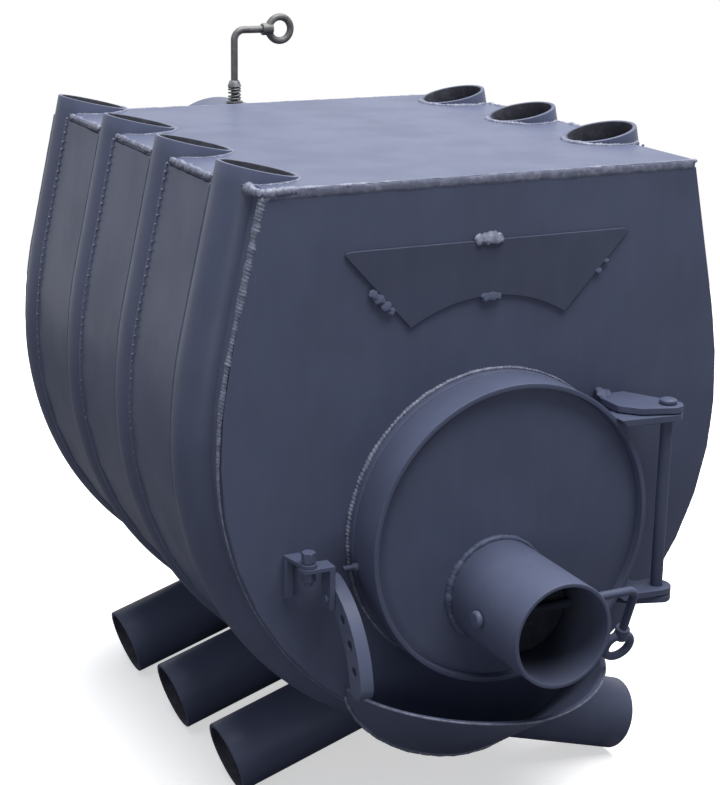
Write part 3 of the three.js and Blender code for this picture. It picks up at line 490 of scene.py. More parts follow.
# A piece for a CAD node rides the node's body, takes the finish of the node's slot unless one is given, and
# hides the node; the others are painted relief
def addPiece(name, mesh, node, finish, body=None):
    slotName = slotOf[node] if node else "paint"
    mesh.materials.clear()
    mesh.materials.append(finish or finishOf[slotName])
    piece = addObject(name, mesh)
    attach(piece, body or body_of(frame["nodes"][node])[0])
    if node:
        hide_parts(node)
    return piece


def makePiece(name, surface, node, finish=None, body=None, sharpAngle=38):
    points, quads = surface
    mesh = bpy.data.meshes.new(name)
    mesh.from_pydata((points * millimetre).tolist(), [], quads.tolist())
    finishMesh(mesh, sharpAngle)
    return addPiece(name, mesh, node, finish, body)


def makeRelief(name, surfaces, finish, body="stove"):
    makePiece(name, joined(surfaces), None, finish, body, sharpAngle=70)


# A copy of a CAD node with its triangles merged, its round sides shaded smooth and its edges softened
def refined(node, edge, finish=None, segments=2):
    mesh = frame["nodes"][node].data.copy()
    mesh.name = node + "Refined"
    finishMesh(mesh, 32, dissolve=True)
    bevel = addPiece(node + "_refined", mesh, node, finish).modifiers.new("softEdges", "BEVEL")
    bevel.width, bevel.segments = edge * millimetre, segments
    bevel.limit_method, bevel.angle_limit = "ANGLE", radians(40)


def corners(node):
    low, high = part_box(node)
    return np.array(low) / millimetre, np.array(high) / millimetre


def runsAlong(path):
    return np.concatenate([[0], np.cumsum(np.linalg.norm(np.diff(path, axis=0), axis=1))])


def between(lengths, runs, values):
    return np.stack([np.interp(lengths, runs, values[:, k]) for k in range(3)], 1)


# Points at equal steps along a path, and the length to each
def evenly(path, step, closed=False):
    path = np.asarray(path, float)
    if closed:
        path = np.vstack([path, path[:1]])
    runs = runsAlong(path)
    count = max(4, int(round(runs[-1] / step)))
    lengths = np.linspace(0, runs[-1], count, endpoint=not closed)
    return between(lengths, runs, path), lengths


# Seeded values in -1..1 on a grid of knots one patch apart, joined straight along the path
def roughValues(lengths, columns, patch, rng):
    knots = int(lengths[-1] / patch) + 3
    values = rng.uniform(-1, 1, (knots, columns))
    place = lengths / patch
    low = place.astype(int)
    share = (place - low)[:, None]
    return values[low] * (1 - share) + values[low + 1] * share


# Bead: a squashed tube along a path, point = path + radius·(width·cos·across + height·sin·out), where
# radius = (1 + ripple·(|sin(pi·s/pitch + 0.7·cos angle)| - 0.6) + lump + grit)·strength, with s running
# unevenly, drawn in at both ends
def weldBead(path, out, width, height, seed, closed=False, pitch=2.4, ripple=0.22, lump=0.22, grit=0.13,
             strength=None, step=0.65, around=10):
    points, lengths = evenly(path, step, closed)
    out = np.asarray(out, float)
    if out.ndim == 2:
        base = np.vstack([path, path[:1]]) if closed else np.asarray(path, float)
        outs = np.vstack([out, out[:1]]) if closed else out
        out = unit(between(lengths, runsAlong(base), outs))
    else:
        out = np.broadcast_to(unit(out), points.shape)
    heading = unit(np.roll(points, -1, 0) - np.roll(points, 1, 0) if closed else np.gradient(points, axis=0))
    across = unit(np.cross(heading, out))
    out = np.cross(across, heading)
    rng = np.random.default_rng(seed)
    angle = circle(around)
    beat = lengths[:, None] + 0.6 * roughValues(lengths, 1, 9, rng)
    radius = 1 + ripple * (np.abs(np.sin(np.pi * beat / pitch + 0.7 * np.cos(angle))) - 0.6)
    radius = radius + lump * roughValues(lengths, 1, 6, rng) + grit * roughValues(lengths, around, 1.1, rng)
    if strength is not None:
        radius = radius * np.interp(lengths / lengths[-1], *zip(*strength))[:, None]
    if closed:
        fade = np.clip(lengths / 6, 0, 1)[:, None]
        radius = radius * fade + radius[-1:] * (1 - fade)
    else:
        end = np.minimum(lengths, lengths[-1] - lengths)
        radius = radius * np.sqrt(np.clip(end / (1.2 * height), 0, 1))[:, None]
    radius = radius[..., None]
    ring = points[:, None] + radius * (width * np.cos(angle)[None, :, None] * across[:, None]
                                       + height * np.sin(angle)[None, :, None] * out[:, None])
    return gridSurface(ring, closed)


tubes = {
    "left": [f"left_tube_{i}" for i in range(1, 5)],
    "right": [f"right_tube_{i}" for i in range(1, 4)],
    "radius": 28.5, "wall": 3.5, "edge": 0.7, "around": 72,
    "boreEdge": 1.9,  # faces further in than this belong to the bore
    "mouth": (155.535, 493.783),  # half width and height of the upper end's middle
    "neck": 122.0, "lean": radians(12.5),
    "shoulder": 340.0, "bend": 225.0,
    "slope": radians(17.5), "leg": 199.0,
}
neckEnd = tubes["neck"]
beltRun = neckEnd + tubes["shoulder"] * tubes["lean"]
bendEnd = beltRun + tubes["bend"] * (np.pi / 2 - tubes["slope"])
tubeRun = bendEnd + tubes["leg"]


# A tube's middle line at run s from its mouth: straight at the lean, an arc to upright at the belt, an arc
# under the firebox, straight at the slope. Gives half width, height and the heading's angle from straight
# down.
def tubeLine(s):
    neck = np.clip(s, 0, neckEnd)
    first = np.clip(s - neckEnd, 0, beltRun - neckEnd) / tubes["shoulder"]
    second = np.clip(s - beltRun, 0, bendEnd - beltRun) / tubes["bend"]
    leg = np.clip(s - bendEnd, 0, None)
    lean = tubes["lean"]
    half = (tubes["mouth"][0] + neck * np.sin(lean)
            + tubes["shoulder"] * (np.cos(lean - first) - np.cos(lean))
            - tubes["bend"] * (1 - np.cos(second)) - leg * np.cos(tubes["slope"]))
    height = (tubes["mouth"][1] - neck * np.cos(lean)
              - tubes["shoulder"] * (np.sin(lean) - np.sin(lean - first))
              - tubes["bend"] * np.sin(second) - leg * np.sin(tubes["slope"]))
    return half, height, lean - first - second


# Points at an outward offset from that line, for one side of the stove, at a depth y
def skinPath(hand, s, offset, y):
    half, height, heading = tubeLine(s)
    x = hand * (half + offset * np.cos(heading))
    z = height + offset * np.sin(heading)
    return np.stack([x, np.full_like(x, y), z], 1)


def skinOut(hand, s):
    heading = tubeLine(s)[2]
    return np.stack([hand * np.cos(heading), np.zeros_like(s), np.sin(heading)], 1)


def runAtHeight(z, offset=0.0):  # run along the line where it passes a height above the crossing
    s = np.linspace(0, bendEnd, 4000)
    half, height, heading = tubeLine(s)
    return float(np.interp(-z, -(height + offset * np.sin(heading)), s))


# Wall: the outside from mouth to foot and the bore back, both rings r·(cos·Y + sin·outward) about the line,
# edges rounded
def tubeSurface(hand, y):
    edge, radius, bore = tubes["edge"], tubes["radius"], tubes["radius"] - tubes["wall"]
    rounding = edge * 0.3
    rows = [np.linspace(neckEnd, beltRun, 12), np.linspace(beltRun, bendEnd, 44),
            np.linspace(bendEnd, tubeRun - edge, 12)]
    runs = np.concatenate([[0, rounding, edge], np.linspace(12, neckEnd, 8), *[row[1:] for row in rows],
                           [tubeRun - rounding, tubeRun]])
    trim = np.zeros_like(runs)
    trim[[0, -1]], trim[[1, -2]] = edge, rounding
    runs = np.concatenate([runs, runs[::-1]])
    radii = np.concatenate([radius - trim, (bore + trim)[::-1]])
    half, height, heading = tubeLine(runs)
    centre = np.stack([hand * half, np.full_like(half, y), height], 1)
    outward = np.stack([hand * np.cos(heading), np.zeros_like(half), np.sin(heading)], 1)
    angle = circle(tubes["around"])[None, :, None]
    spokes = np.cos(angle) * np.array([0.0, 1.0, 0.0]) + np.sin(angle) * outward[:, None]
    return gridSurface(centre[:, None] + radii[:, None, None] * spokes)


# Faces of the bore, told by their distance from the middle line, are bare scaled steel
def lineBore(mesh, hand, y):
    mesh.materials.append(innerSteel)
    middles = np.empty(len(mesh.polygons) * 3)
    mesh.polygons.foreach_get("center", middles)
    middles = middles.reshape(-1, 3) / millimetre
    half, height, _ = tubeLine(np.linspace(0, tubeRun, 1200))
    reach = np.min(np.hypot(middles[:, :1] - hand * half, middles[:, 2:] - height), axis=1)
    distance = np.hypot(reach, middles[:, 1] - y)
    within = distance < tubes["radius"] - tubes["boreEdge"]
    mesh.polygons.foreach_set("material_index", within.astype(np.int32))


tubePlaces = {}
for hand, names in ((-1, tubes["left"]), (1, tubes["right"])):
    for name in names:
        low, high = corners(name)
        y = (low[1] + high[1]) / 2
        tubePlaces[name] = (hand, y)
        piece = makePiece(name + "_smooth", tubeSurface(hand, y), name)
        lineBore(piece.data, hand, y)
print("heating tubes made")

for node in ("front_plate", "back_plate", "top_plate",
             "left_strip_front", "left_strip_1", "left_strip_2", "left_strip_3",
             "right_strip_front", "right_strip_1", "right_strip_2", "right_strip_rear"):
    refined(node, 0.4)
for node in ("baffle_plate", "baffle_rail_left", "baffle_rail_right", "injector_left", "injector_right"):
    refined(node, 0.3)
refined("badge_plate", 0.5, finish=badgePaint, segments=3)
print("casing made")

door = {
    "x": 5.0, "z": 235.4,
    "frame": (112.0, 98.0, -200.0, -192.3),
    "rim": (111.5, 107.9, -232.0, -200.4), "rimEdge": 0.5,
    "disc": (107.6, -225.0, -221.0),
    "pipeX": -5.0, "pipeZ": 194.1, "pipe": (38.0, 35.0, -316.0, -221.0), "pipeEdge": 0.8, "pipeHole": 35.5,
    "seal": (107.5, 98.1, -220.6, -200.1),
    "sealRing": (97.7, 94.7, -220.7, -200.6),
    "shield": [(0, -197.0), (88.0, -197.0), (88.0, -194.0), (0, -194.0)], "shieldEdge": 0.6,
}


def roundRing(name, node, sizes, edge, segments=128):
    ring = turnedY(ringProfile(*sizes, edge), door["x"], door["z"], segments)
    makePiece(name, ring, node)


roundRing("door_frame_ring", "door_frame", door["frame"], 1.0)
roundRing("door_rim_band", "door_rim", door["rim"], door["rimEdge"])
roundRing("door_seal_ring_band", "door_seal_ring", door["sealRing"], 0.5)
roundRing("door_seal_rope", "door_seal", door["seal"], 3.4, 192)


# Disc with a hole off its middle: rows run from the outer circle over the front to the hole and back
# behind, all at the same angles
def discWithHole(radius, front, back, holeX, holeZ, holeRadius, segments=128):
    angle = circle(segments)
    spoke = np.stack([np.cos(angle), np.zeros_like(angle), np.sin(angle)], 1)
    shares = np.linspace(0, 1, 9)
    outer = np.array([door["x"], 0, door["z"]]) + radius * spoke
    hole = np.array([holeX, 0, holeZ]) + holeRadius * spoke
    face = outer[None] * (1 - shares[:, None, None]) + hole[None] * shares[:, None, None]
    rows = [face + np.array([0, front, 0]), face[::-1] + np.array([0, back, 0])]
    return gridSurface(np.concatenate(rows))


discSurface = discWithHole(*door["disc"], door["pipeX"], door["pipeZ"], door["pipeHole"])
makePiece("door_disc_plate", discSurface, "door_disc")
shieldSurface = turnedY(solidProfile(door["shield"], door["shieldEdge"]), door["x"], door["z"])
makePiece("door_shield_plate", shieldSurface, "door_shield")
pipeSurface = turnedY(ringProfile(*door["pipe"], door["pipeEdge"]), door["pipeX"], door["pipeZ"])
makePiece("air_pipe_tube", pipeSurface, "air_pipe")
for node in ("door_spacer_1", "door_spacer_2", "door_spacer_3", "door_spacer_4"):
    refined(node, 0.3)
for node in ("frame_lug_upper", "frame_lug_lower", "door_lug_upper", "door_lug_lower"):
    refined(node, 0.7, segments=3)
refined("catch_rod", 0.3)

hinge = {  # outline: radius and height
    "x": 130.0, "y": -232.0, "edge": 0.8,
    "outline": [(0, 166.3), (4.5, 166.3), (4.5, 318.4), (6.5, 318.4), (6.5, 321.2), (3.2, 322.4), (0, 322.4)],
}
hingeSurface = turnedZ(solidProfile(hinge["outline"], hinge["edge"]), hinge["x"], hinge["y"])
makePiece("hinge_pin", hingeSurface, "hinge_rod", paint)
print("door made")

handles = {
    "radius": 3.2, "eyeRadius": 10.6, "eyeWire": 3.2, "collar": 5.4, "collarLength": 7.0, "collarEdge": 1.1,
    "swell": 0.22, "swellSpread": 0.45,  # thicker wire where the eye is welded, and over what angle
    "air": {"shaft": (-43.3, -268.0, 194.1), "armX": 86.0, "bend": 7.0, "length": 40.0, "lean": radians(20)},
    "flue": {"shaft": (0.0, 272.0, 357.1), "armZ": 542.0, "bend": 9.0, "length": 30.0},
}


# Bent rod with a collar and an eye: straight along the first direction, a quarter circle, straight along
# the second; the eye is a ring in the plane of both, its wire thickened towards the collar
def handleSurface(sizes, first, second, corner):
    first, second = np.asarray(first, float), np.asarray(second, float)
    flat = np.cross(first, second)
    start, bend, length = np.asarray(sizes["shaft"], float), sizes["bend"], sizes["length"]
    centre = corner - first * bend + second * bend
    turn = np.linspace(0, np.pi / 2, 14)[:, None]
    arc = centre + bend * (np.sin(turn) * first - np.cos(turn) * second)
    end = corner + second * length
    straight = start + (arc[0] - start) * np.linspace(0, 1, 6)[:, None]
    path = np.vstack([straight[:-1], arc, end])
    heading = unit(np.gradient(path, axis=0))
    heading[0], heading[-1] = first, second
    sides = np.broadcast_to(flat, path.shape)
    rod = sweptRod(path, sides, np.cross(heading, sides), handles["radius"], 24)
    wide, low, high = handles["collar"], length - handles["radius"], length + handles["collarLength"]
    collarProfile = solidProfile([(0, low), (wide, low), (wide, high), (0, high)], handles["collarEdge"])
    collar = turned(collarProfile, corner, second, first, 32)
    eyeCentre = corner + second * (high + handles["eyeRadius"] - handles["eyeWire"])
    angle = circle(64)[:, None]
    spoke = -np.cos(angle) * second + np.sin(angle) * first
    away = np.minimum(angle, 2 * np.pi - angle)
    wire = handles["eyeWire"] * (1 + handles["swell"] * np.exp(-(away / handles["swellSpread"]) ** 2))
    around = circle(20)[None, :, None]
    section = np.cos(around) * spoke[:, None] + np.sin(around) * flat
    ring = (eyeCentre + handles["eyeRadius"] * spoke)[:, None] + wire[:, None] * section
    return joined([rod, collar, gridSurface(ring)])


right = np.array([1.0, 0, 0])
_, airY, airZ = handles["air"]["shaft"]
hanging = np.array([0, np.sin(handles["air"]["lean"]), -np.cos(handles["air"]["lean"])])
airCorner = np.array([handles["air"]["armX"], airY, airZ])
airSurface = handleSurface(handles["air"], right, hanging, airCorner)
makePiece("air_handle", airSurface, "air_damper_rod")
flueX, flueY, _ = handles["flue"]["shaft"]
flueCorner = np.array([flueX, flueY, handles["flue"]["armZ"]])
flueSurface = handleSurface(handles["flue"], (0, 0, 1), right, flueCorner)
makePiece("flue_handle", flueSurface, "flue_damper_rod", darkRod)

screw = {"outline": [(0, -47.6), (5.2, -47.6), (6.5, -46.2), (6.5, -43.6), (0, -43.6)], "edge": 0.7}
screwProfile = solidProfile(screw["outline"], screw["edge"])
screwSurface = turned(screwProfile, (0, airY, airZ), right, (0, 1, 0), 40)
makePiece("air_screw_head", screwSurface, "air_damper_screw", paint)
refined("air_damper_disc", 0.3)
refined("flue_damper_disc", 0.3)

flue = {
    "z": 417.1, "ring": (60.0, 56.5, 193.0, 316.0, 0.9),  # outside, bore, root, end and edge
    "washer": (7.5, 3.5, 477.4, 478.9, 0.4),  # outside, bore, foot, top and edge
    "coneFoot": 6.4, "coneTop": 4.2, "coneEdge": 0.5,
}
pipeSurface = turnedY(ringProfile(*flue["ring"]), flueX, flue["z"], 128)
makePiece("flue_pipe_tube", pipeSurface, "flue_pipe")
washerSurface = turnedZ(ringProfile(*flue["washer"]), flueX, flueY)
makePiece("flue_washer_ring", washerSurface, "flue_washer")
low, high = corners("flue_cone")
coneOutline = [(0, low[2]), (flue["coneFoot"], low[2]), (flue["coneTop"], high[2]), (0, high[2])]
coneSurface = turnedZ(solidProfile(coneOutline, flue["coneEdge"]), flueX, flueY)
makePiece("flue_cone_stop", coneSurface, "flue_cone")

spring = {"radius": 5.2, "wire": 0.8, "turns": 4.4, "foot": 480.1, "top": 490.7, "ease": 0.07}


# Spring: point = (r cos, r sin, height), where height rises as share - ease·sin(2 pi share), slow at both
# ends
def springSurface():
    share = np.linspace(0, 1, 220)
    turn = share * spring["turns"] * 2 * np.pi
    eased = share - np.sin(2 * np.pi * share) * spring["ease"]
    height = spring["foot"] + (spring["top"] - spring["foot"]) * eased
    outward = np.stack([np.cos(turn), np.sin(turn), np.zeros_like(turn)], 1)
    middle = np.stack([np.full_like(turn, flueX), np.full_like(turn, flueY), height], 1)
    path = outward * spring["radius"] + middle
    heading = unit(np.gradient(path, axis=0))
    return sweptRod(path, outward, np.cross(heading, outward), spring["wire"], 12, 0.3)


makePiece("flue_spring_coil", springSurface(), "flue_spring")
print("dampers made")

lip = {
    "x": -4.0, "z": 122.6, "y": -192.3, "half": 104.0, "reach": 103.7, "depth": 74.4, "wall": 3.0,
    "power": 2 / 1.75,
    "rim": ((0.0, 0.012), (0.25, 0.004), (1.0, 0.0), (2.0, 0.0), (2.75, 0.004), (3.0, 0.012)),  # inset and w
}


# One line of the lip's sheet on each side, at an inset from the outside and at shares w of the fall: at
# angle t the rim lies at (half·c^p, -reach·s^p), and from there y = -reach·s^p·(1-w), z = -depth·s^p·w,
# straight down to the plate
def lipWall(inset, w):
    t = np.linspace(0, np.pi, 97)
    c, s = np.cos(t), np.sin(t)
    w = np.atleast_1d(w)
    slant = np.hypot(lip["reach"], lip["depth"]) / lip["depth"]
    half, reach = lip["half"] - inset, lip["reach"] - inset * slant
    across = half * np.sign(c) * np.abs(c) ** lip["power"]
    out = reach * np.abs(s) ** lip["power"]
    fall = lip["depth"] * out / lip["reach"]
    return np.stack([lip["x"] + np.outer(np.ones_like(w), across), lip["y"] - np.outer(1 - w, out),
                     lip["z"] - np.outer(w, fall)], -1)


# The sheet: up the outside, over the rounded rim and down the inside
def lipSurface():
    falls = np.linspace(0, 1, 13)[1:]
    rim = [lipWall(inset, share) for inset, share in lip["rim"]]
    rows = [lipWall(0.0, falls)[::-1], *rim, lipWall(lip["wall"], falls)]
    return gridSurface(np.concatenate(rows), True, False)


makePiece("ash_lip_sheet", lipSurface(), "ash_lip")
latchEdges = {
    "latch_post": 0.6, "latch_tongue": 0.4, "latch_swivel": 0.4, "latch_handle": 1.4, "latch_pin": 0.6,
}
for node, edge in latchEdges.items():
    refined(node, edge, segments=3, finish=paint)
for node in ("latch_bolt", "latch_nut"):
    refined(node, 0.5, finish=paint)
print("lip and latch made")

# Half width and height of each bead
beads = {
    "top": (1.7, 1.5), "seam": (3.3, 0.8), "edge": (2.2, 2.0), "corner": (3.2, 2.6), "outer": (2.3, 1.9),
    "ring": (1.8, 1.5), "frame": (1.5, 1.3), "pipe": (2.6, 2.3), "fillet": (3.2, 1.5), "dot": (0.9, 0.9),
    "lipRimHighlight": (0.9, 0.8), "lipFoot": (1.5, 1.3),
}
casingBeads = []


# Small round lump, squashed along out: size and height times 1 + 0.2·noise·sin(tilt), with turn round out
# and tilt from its top
def lump(centre, out, size, height, seed, around=12, stack=7):
    out = unit(np.asarray(out, float))
    side = unit(np.cross(out, (0.31, 0.72, 0.62)))
    up = np.cross(out, side)
    rng = np.random.default_rng(seed)
    tilt = np.linspace(0, np.pi, stack)[:, None]
    turn = circle(around)[None, :]
    values = rng.uniform(-1, 1, (stack, around))
    noise = values
    for shift, axis in ((1, 1), (-1, 1), (1, 0), (-1, 0)):  # each value with its four neighbours
        noise = noise + np.roll(values, shift, axis)
    rough = 1 + 0.2 * (noise / 2.2) * np.sin(tilt)
    wide = (size * rough * np.sin(tilt))[..., None]
    spokes = np.cos(turn)[..., None] * side + np.sin(turn)[..., None] * up
    points = np.asarray(centre, float) + wide * spokes + (height * rough * np.cos(tilt))[..., None] * out
    points[0], points[-1] = points[0].mean(0), points[-1].mean(0)
    return gridSurface(points, False)


# Row of dots along a path: each is a small squashed ball, a little off its place, its size the strength
# there times a random share
def dots(path, outs, size, height, pitch, seed, strength, around=6, stack=5):
    places, lengths = evenly(path, pitch)
    outs = unit(between(lengths, runsAlong(path), outs))
    heading = unit(np.gradient(places, axis=0))
    across = np.cross(heading, outs)
    rng = np.random.default_rng(seed)
    places = places + heading * rng.uniform(-0.8, 0.8, (len(places), 1))
    scale = np.interp(lengths / lengths[-1], *zip(*strength)) * rng.uniform(0.75, 1.2, len(lengths))
    tilt = np.linspace(0.02, np.pi - 0.02, stack)[:, None, None]
    turn = circle(around)[None, :, None]
    spokes = np.cos(turn) * heading[:, None, None] + np.sin(turn) * across[:, None, None]
    ball = size * np.sin(tilt) * spokes + height * np.cos(tilt) * outs[:, None, None]
    balls = places[:, None, None] + scale[:, None, None, None] * ball
    for pole in (0, -1):
        balls[:, pole] = balls[:, pole].mean(1, keepdims=True)
    return joined([gridSurface(points, False) for points in balls])


def addBead(*values, **looks):
    casingBeads.append(weldBead(*values, **looks))


# Along the top plate's front and rear edges: a smooth filling over the seam, a thin jagged crest above it
crest = {
    "seamEnds": (-168, 168), "seamHeight": 483.6, "ends": (-165, 172), "height": 486.0, "inset": 1.0,
    "strength": [(0, 1.0), (0.2, 0.9), (0.3, 0.6), (0.8, 0.75), (1, 0.8)],
}
for y, out, seed in ((-191.9, -1, 1), (197.9, 1, 2)):
    path = [(x, y, crest["seamHeight"]) for x in crest["seamEnds"]]
    addBead(path, (0, out, 0), *beads["seam"], seed, ripple=0.05, lump=0.12, grit=0.05)
    path = [(x, y - out * crest["inset"], crest["height"]) for x in crest["ends"]]
    addBead(path, (0, out * 0.6, 0.8), *beads["top"], seed + 10, lump=0.35, strength=crest["strength"])

# Down the plates' edges, where they meet the side strips: hand, y, side it faces, seed and strength
plateEdges = [
    (-1, -189.6, -1, 3,
     [(0, 1.35), (0.03, 1.5), (0.06, 1.2), (0.3, 0.95), (0.45, 0.55), (0.58, 0.2), (1, 0.15)]),
    (1, -190.2, -1, 4, [(0, 0.45), (1, 0.4)]),
    (-1, 195.6, 1, 5, [(0, 0.9), (1, 0.7)]),
    (1, 195.6, 1, 6, [(0, 0.9), (1, 0.7)]),
]
firstEdge = {  # the one beside the first tube turns in over the plate's corner and stands out further
    "offsets": (12.4, 13.6, 12.2), "middle": 280,
    "start": [(-146, -190.8, 485.4), (-157, -190.6, 485.2), (-164.5, -190.2, 483.4), (-169, -190, 480)],
    "outs": [(0, -1, 1), (-0.2, -1, 0.9), (-0.5, -1, 0.7), (-0.8, -1, 0.5)],
}
seamTop = runAtHeight(478)  # seams start here, just under the top plate
edgeRuns = np.linspace(seamTop, bendEnd - 30, 160)
for hand, y, side, seed, strength in plateEdges:
    isFirst = hand < 0 and side < 0
    offset = 11.6
    if isFirst:
        knots = seamTop, runAtHeight(firstEdge["middle"]), bendEnd
        offset = np.interp(edgeRuns, knots, firstEdge["offsets"])
    path = skinPath(hand, edgeRuns, offset, y)
    outs = skinOut(hand, edgeRuns) + np.array([0, side, 0])
    if isFirst:
        path, outs = np.vstack([firstEdge["start"], path]), np.vstack([firstEdge["outs"], outs])
    addBead(path, outs, *beads["edge"], seed, strength=strength, lump=0.3)

# Round the top plate's corner between the first tube and the front plate
cornerPath = [(-150, -191.4, 485.4), (-166, -191.4, 485.0), (-172.6, -188.5, 484.6), (-174.2, -178, 484.8),
              (-172.4, -164, 485.4)]
cornerOuts = np.array([(0, -1, 0.8), (-0.3, -1, 0.8), (-1, -0.8, 0.8), (-1, -0.3, 0.8), (-1, 0, 0.8)])
addBead(cornerPath, cornerOuts, *beads["corner"], 77, lump=0.35, grit=0.16, pitch=4.0,
        strength=[(0, 0.6), (0.5, 1.1), (1, 1.0)])

# Round the necks where they pass the top plate, except on the outer side
neck = {  # strength on either hand
    "height": 486.9, "across": 29.4, "along": 28.8, "ends": (48, 312), "lean": 0.6,
    -1: [(0, 0.5), (0.3, 0.7), (0.7, 0.7), (1, 0.5)], 1: [(0, 1), (0.5, 1.2), (1, 1)],
}
halfAtTop = tubeLine(runAtHeight(487))[0]
for seed, (hand, y) in enumerate(tubePlaces.values(), 20):
    angle = np.radians(np.linspace(*neck["ends"], 150))
    c, s = np.cos(angle), np.sin(angle)
    path = np.stack([hand * (halfAtTop + neck["across"] * c), y + neck["along"] * s,
                     np.full_like(c, neck["height"])], 1)
    out = np.stack([hand * c * neck["lean"], s * neck["lean"], np.ones_like(c)], 1)
    addBead(path, out, *beads["ring"], seed, lump=0.4, pitch=3.5, strength=neck[hand])

# Seams between the tubes and the strips beside them: a smooth painted fillet, stitched with dots on the
# front side
seam = {
    "offset": 23.5, "apart": 17.8, "lean": 0.45, "stitchOffset": 25.1, "stitchApart": 19.0, "pitch": 6.3,
    "stitchStrength": [(0, 1.25), (0.3, 1.0), (0.5, 0.7), (0.75, 0.35), (1, 0.3)],
}
seamRuns = np.linspace(seamTop, bendEnd - 60, 200)
filletSurfaces = []
stitches = []
for seed, (name, (hand, y)) in enumerate(tubePlaces.items(), 40):
    for side in (-1, 1):
        if name == "left_tube_1" and side < 0:  # the front plate's edge is here
            continue
        path = skinPath(hand, seamRuns, seam["offset"], y + side * seam["apart"])
        out = skinOut(hand, seamRuns) + np.array([0, side * seam["lean"], 0])
        filletSurfaces.append(weldBead(path, out, *beads["fillet"], seed * 2 + side, ripple=0.03, lump=0.08,
                                       grit=0.03, step=2.0))
        if side < 0:
            path = skinPath(hand, seamRuns, seam["stitchOffset"], y - seam["stitchApart"])
            stitches.append(dots(path, out, *beads["dot"], seam["pitch"], seed, seam["stitchStrength"]))

# Ragged crest along the top plate's outer edge between two tubes
outerEdge = {"inset": 0.6, "height": 485.4, "fromTube": 19}
edgeAtTop = corners("top_plate")[1][0] - outerEdge["inset"]
for hand, names in ((-1, tubes["left"]), (1, tubes["right"])):
    for seed, (first, second) in enumerate(zip(names[:-1], names[1:]), 70):
        ends = tubePlaces[first][1] + outerEdge["fromTube"], tubePlaces[second][1] - outerEdge["fromTube"]
        path = [(hand * edgeAtTop, y, outerEdge["height"]) for y in np.linspace(*ends, 12)]
        addBead(path, (hand, 0, 0.7), *beads["outer"], seed + 5 * hand, lump=0.5, grit=0.2, pitch=4.0)
makeRelief("seam_fillets", filletSurfaces, paint)
# the stitch dots take the weld finish, whose lighter patches are painted highlight
makeRelief("seam_stitches", stitches, weld)
print("casing welds made")


# Bead all the way round a ring of the door or a pipe, its out direction half along Y
def ringBead(x, z, radius, y, out, size, seed, **looks):
    angle = np.radians(np.linspace(0, 359, 240))
    spoke = np.stack([-np.sin(angle), np.zeros_like(angle), -np.cos(angle)], 1)
    path = np.array([x, y, z]) + radius * spoke
    return weldBead(path, spoke + np.array([0, out, 0]), *size, seed, closed=True, **looks)


rings = {  # radius and y; strength runs from the lowest point past the left side
    "frame": (112.7, -192.9), "flue": (61.2, 198.8), "air": (38.9, -225.9),
    "frameStrength": [(0, 0.4), (0.12, 0.8), (0.25, 1.15), (0.42, 1.1), (0.52, 0.85), (0.6, 0.5), (1, 0.4)],
    "airStrength": [(0, 0.7), (0.2, 1.1), (0.4, 1.0), (0.6, 0.75), (1, 0.7)],
}
# Door frame on the front plate, flue pipe on the back plate, air pipe on the door
casingBeads += [
    ringBead(door["x"], door["z"], *rings["frame"], -1, beads["frame"], 60, pitch=3.0, ripple=0.35,
             strength=rings["frameStrength"]),
    ringBead(flueX, flue["z"], *rings["flue"], 1, beads["pipe"], 61, lump=0.3),
]
doorBeads = [
    ringBead(door["pipeX"], door["pipeZ"], *rings["air"], -1, beads["pipe"], 62, lump=0.3, ripple=0.1,
             pitch=5.0, strength=rings["airStrength"]),
    lump((-106.6, -204.0, 219.7), (-1, -0.3, 0), 3.4, 2.6, 64),  # catch rod's root on the rim
]

lipBeads = {  # change of half width, of reach or depth, and the end angle; place of each line
    "rim": (-0.9, -1.6, 0.02), "rimY": -192.9, "rimZ": 122.1,
    "foot": (0.6, -0.2, 0.12), "footY": -192.8,
}


# The lip's outline from above or from the front: (half + wider)·(cos t)^p across, (reach + longer)·(sin t)^p
# away
def lipOutline(reach, wider, longer, end, count):
    t = np.linspace(end, np.pi - end, count)
    c = np.cos(t)
    across = (lip["half"] + wider) * np.sign(c) * np.abs(c) ** lip["power"]
    return lip["x"] + across, (reach + longer) * np.sin(t) ** lip["power"], np.ones_like(t)


# Thin bead along the lip's upper edge, made lighter by the weld finish: a painted highlight
across, out, ones = lipOutline(lip["reach"], *lipBeads["rim"], 160)
lipRimHighlight = np.stack([across, lipBeads["rimY"] - out, lipBeads["rimZ"] * ones], 1)
addBead(lipRimHighlight, (0, -0.5, 1), *beads["lipRimHighlight"], 66, ripple=0.05, lump=0.1, grit=0.08, step=1.2, around=8)
# Lip on the plate, along its foot
across, down, ones = lipOutline(lip["depth"], *lipBeads["foot"], 120)
lipFoot = np.stack([across, lipBeads["footY"] * ones, lip["z"] - down], 1)
addBead(lipFoot, (0, -0.8, -0.5), *beads["lipFoot"], 63)

# Tacks by place, size and height: a bright one at the top of the plate above the door, in the weld finish
# with its painted highlight, flat ones on its slants and its arch, and one on the frame lug
tacks = {
    "bright": [
        ((-10, -193.9, 442.6), 4.2, 1.5), ((-5, -193.9, 443), 5, 1.8), ((1, -193.9, 442.9), 5, 1.8),
        ((6, -193.9, 442.5), 3.6, 1.3),
    ],
    "painted": [
        ((-91, -194, 411.5), 3.6, 1), ((-87, -194, 408), 4.4, 1.3), ((-82, -194, 403), 4.4, 1.2),
        ((-78, -194, 399), 3.4, 1), ((-4, -194, 402), 4.2, 1.2), ((1.5, -194, 402.3), 4.4, 1.2),
        ((6, -194, 402), 3.4, 0.9), ((89, -194, 412.5), 2.6, 0.9), ((95.5, -194, 419), 2.2, 0.8),
    ],
    "lug": [((96, -198, 319.6), 6, 2.6), ((101.5, -196, 319), 4, 2)],
}


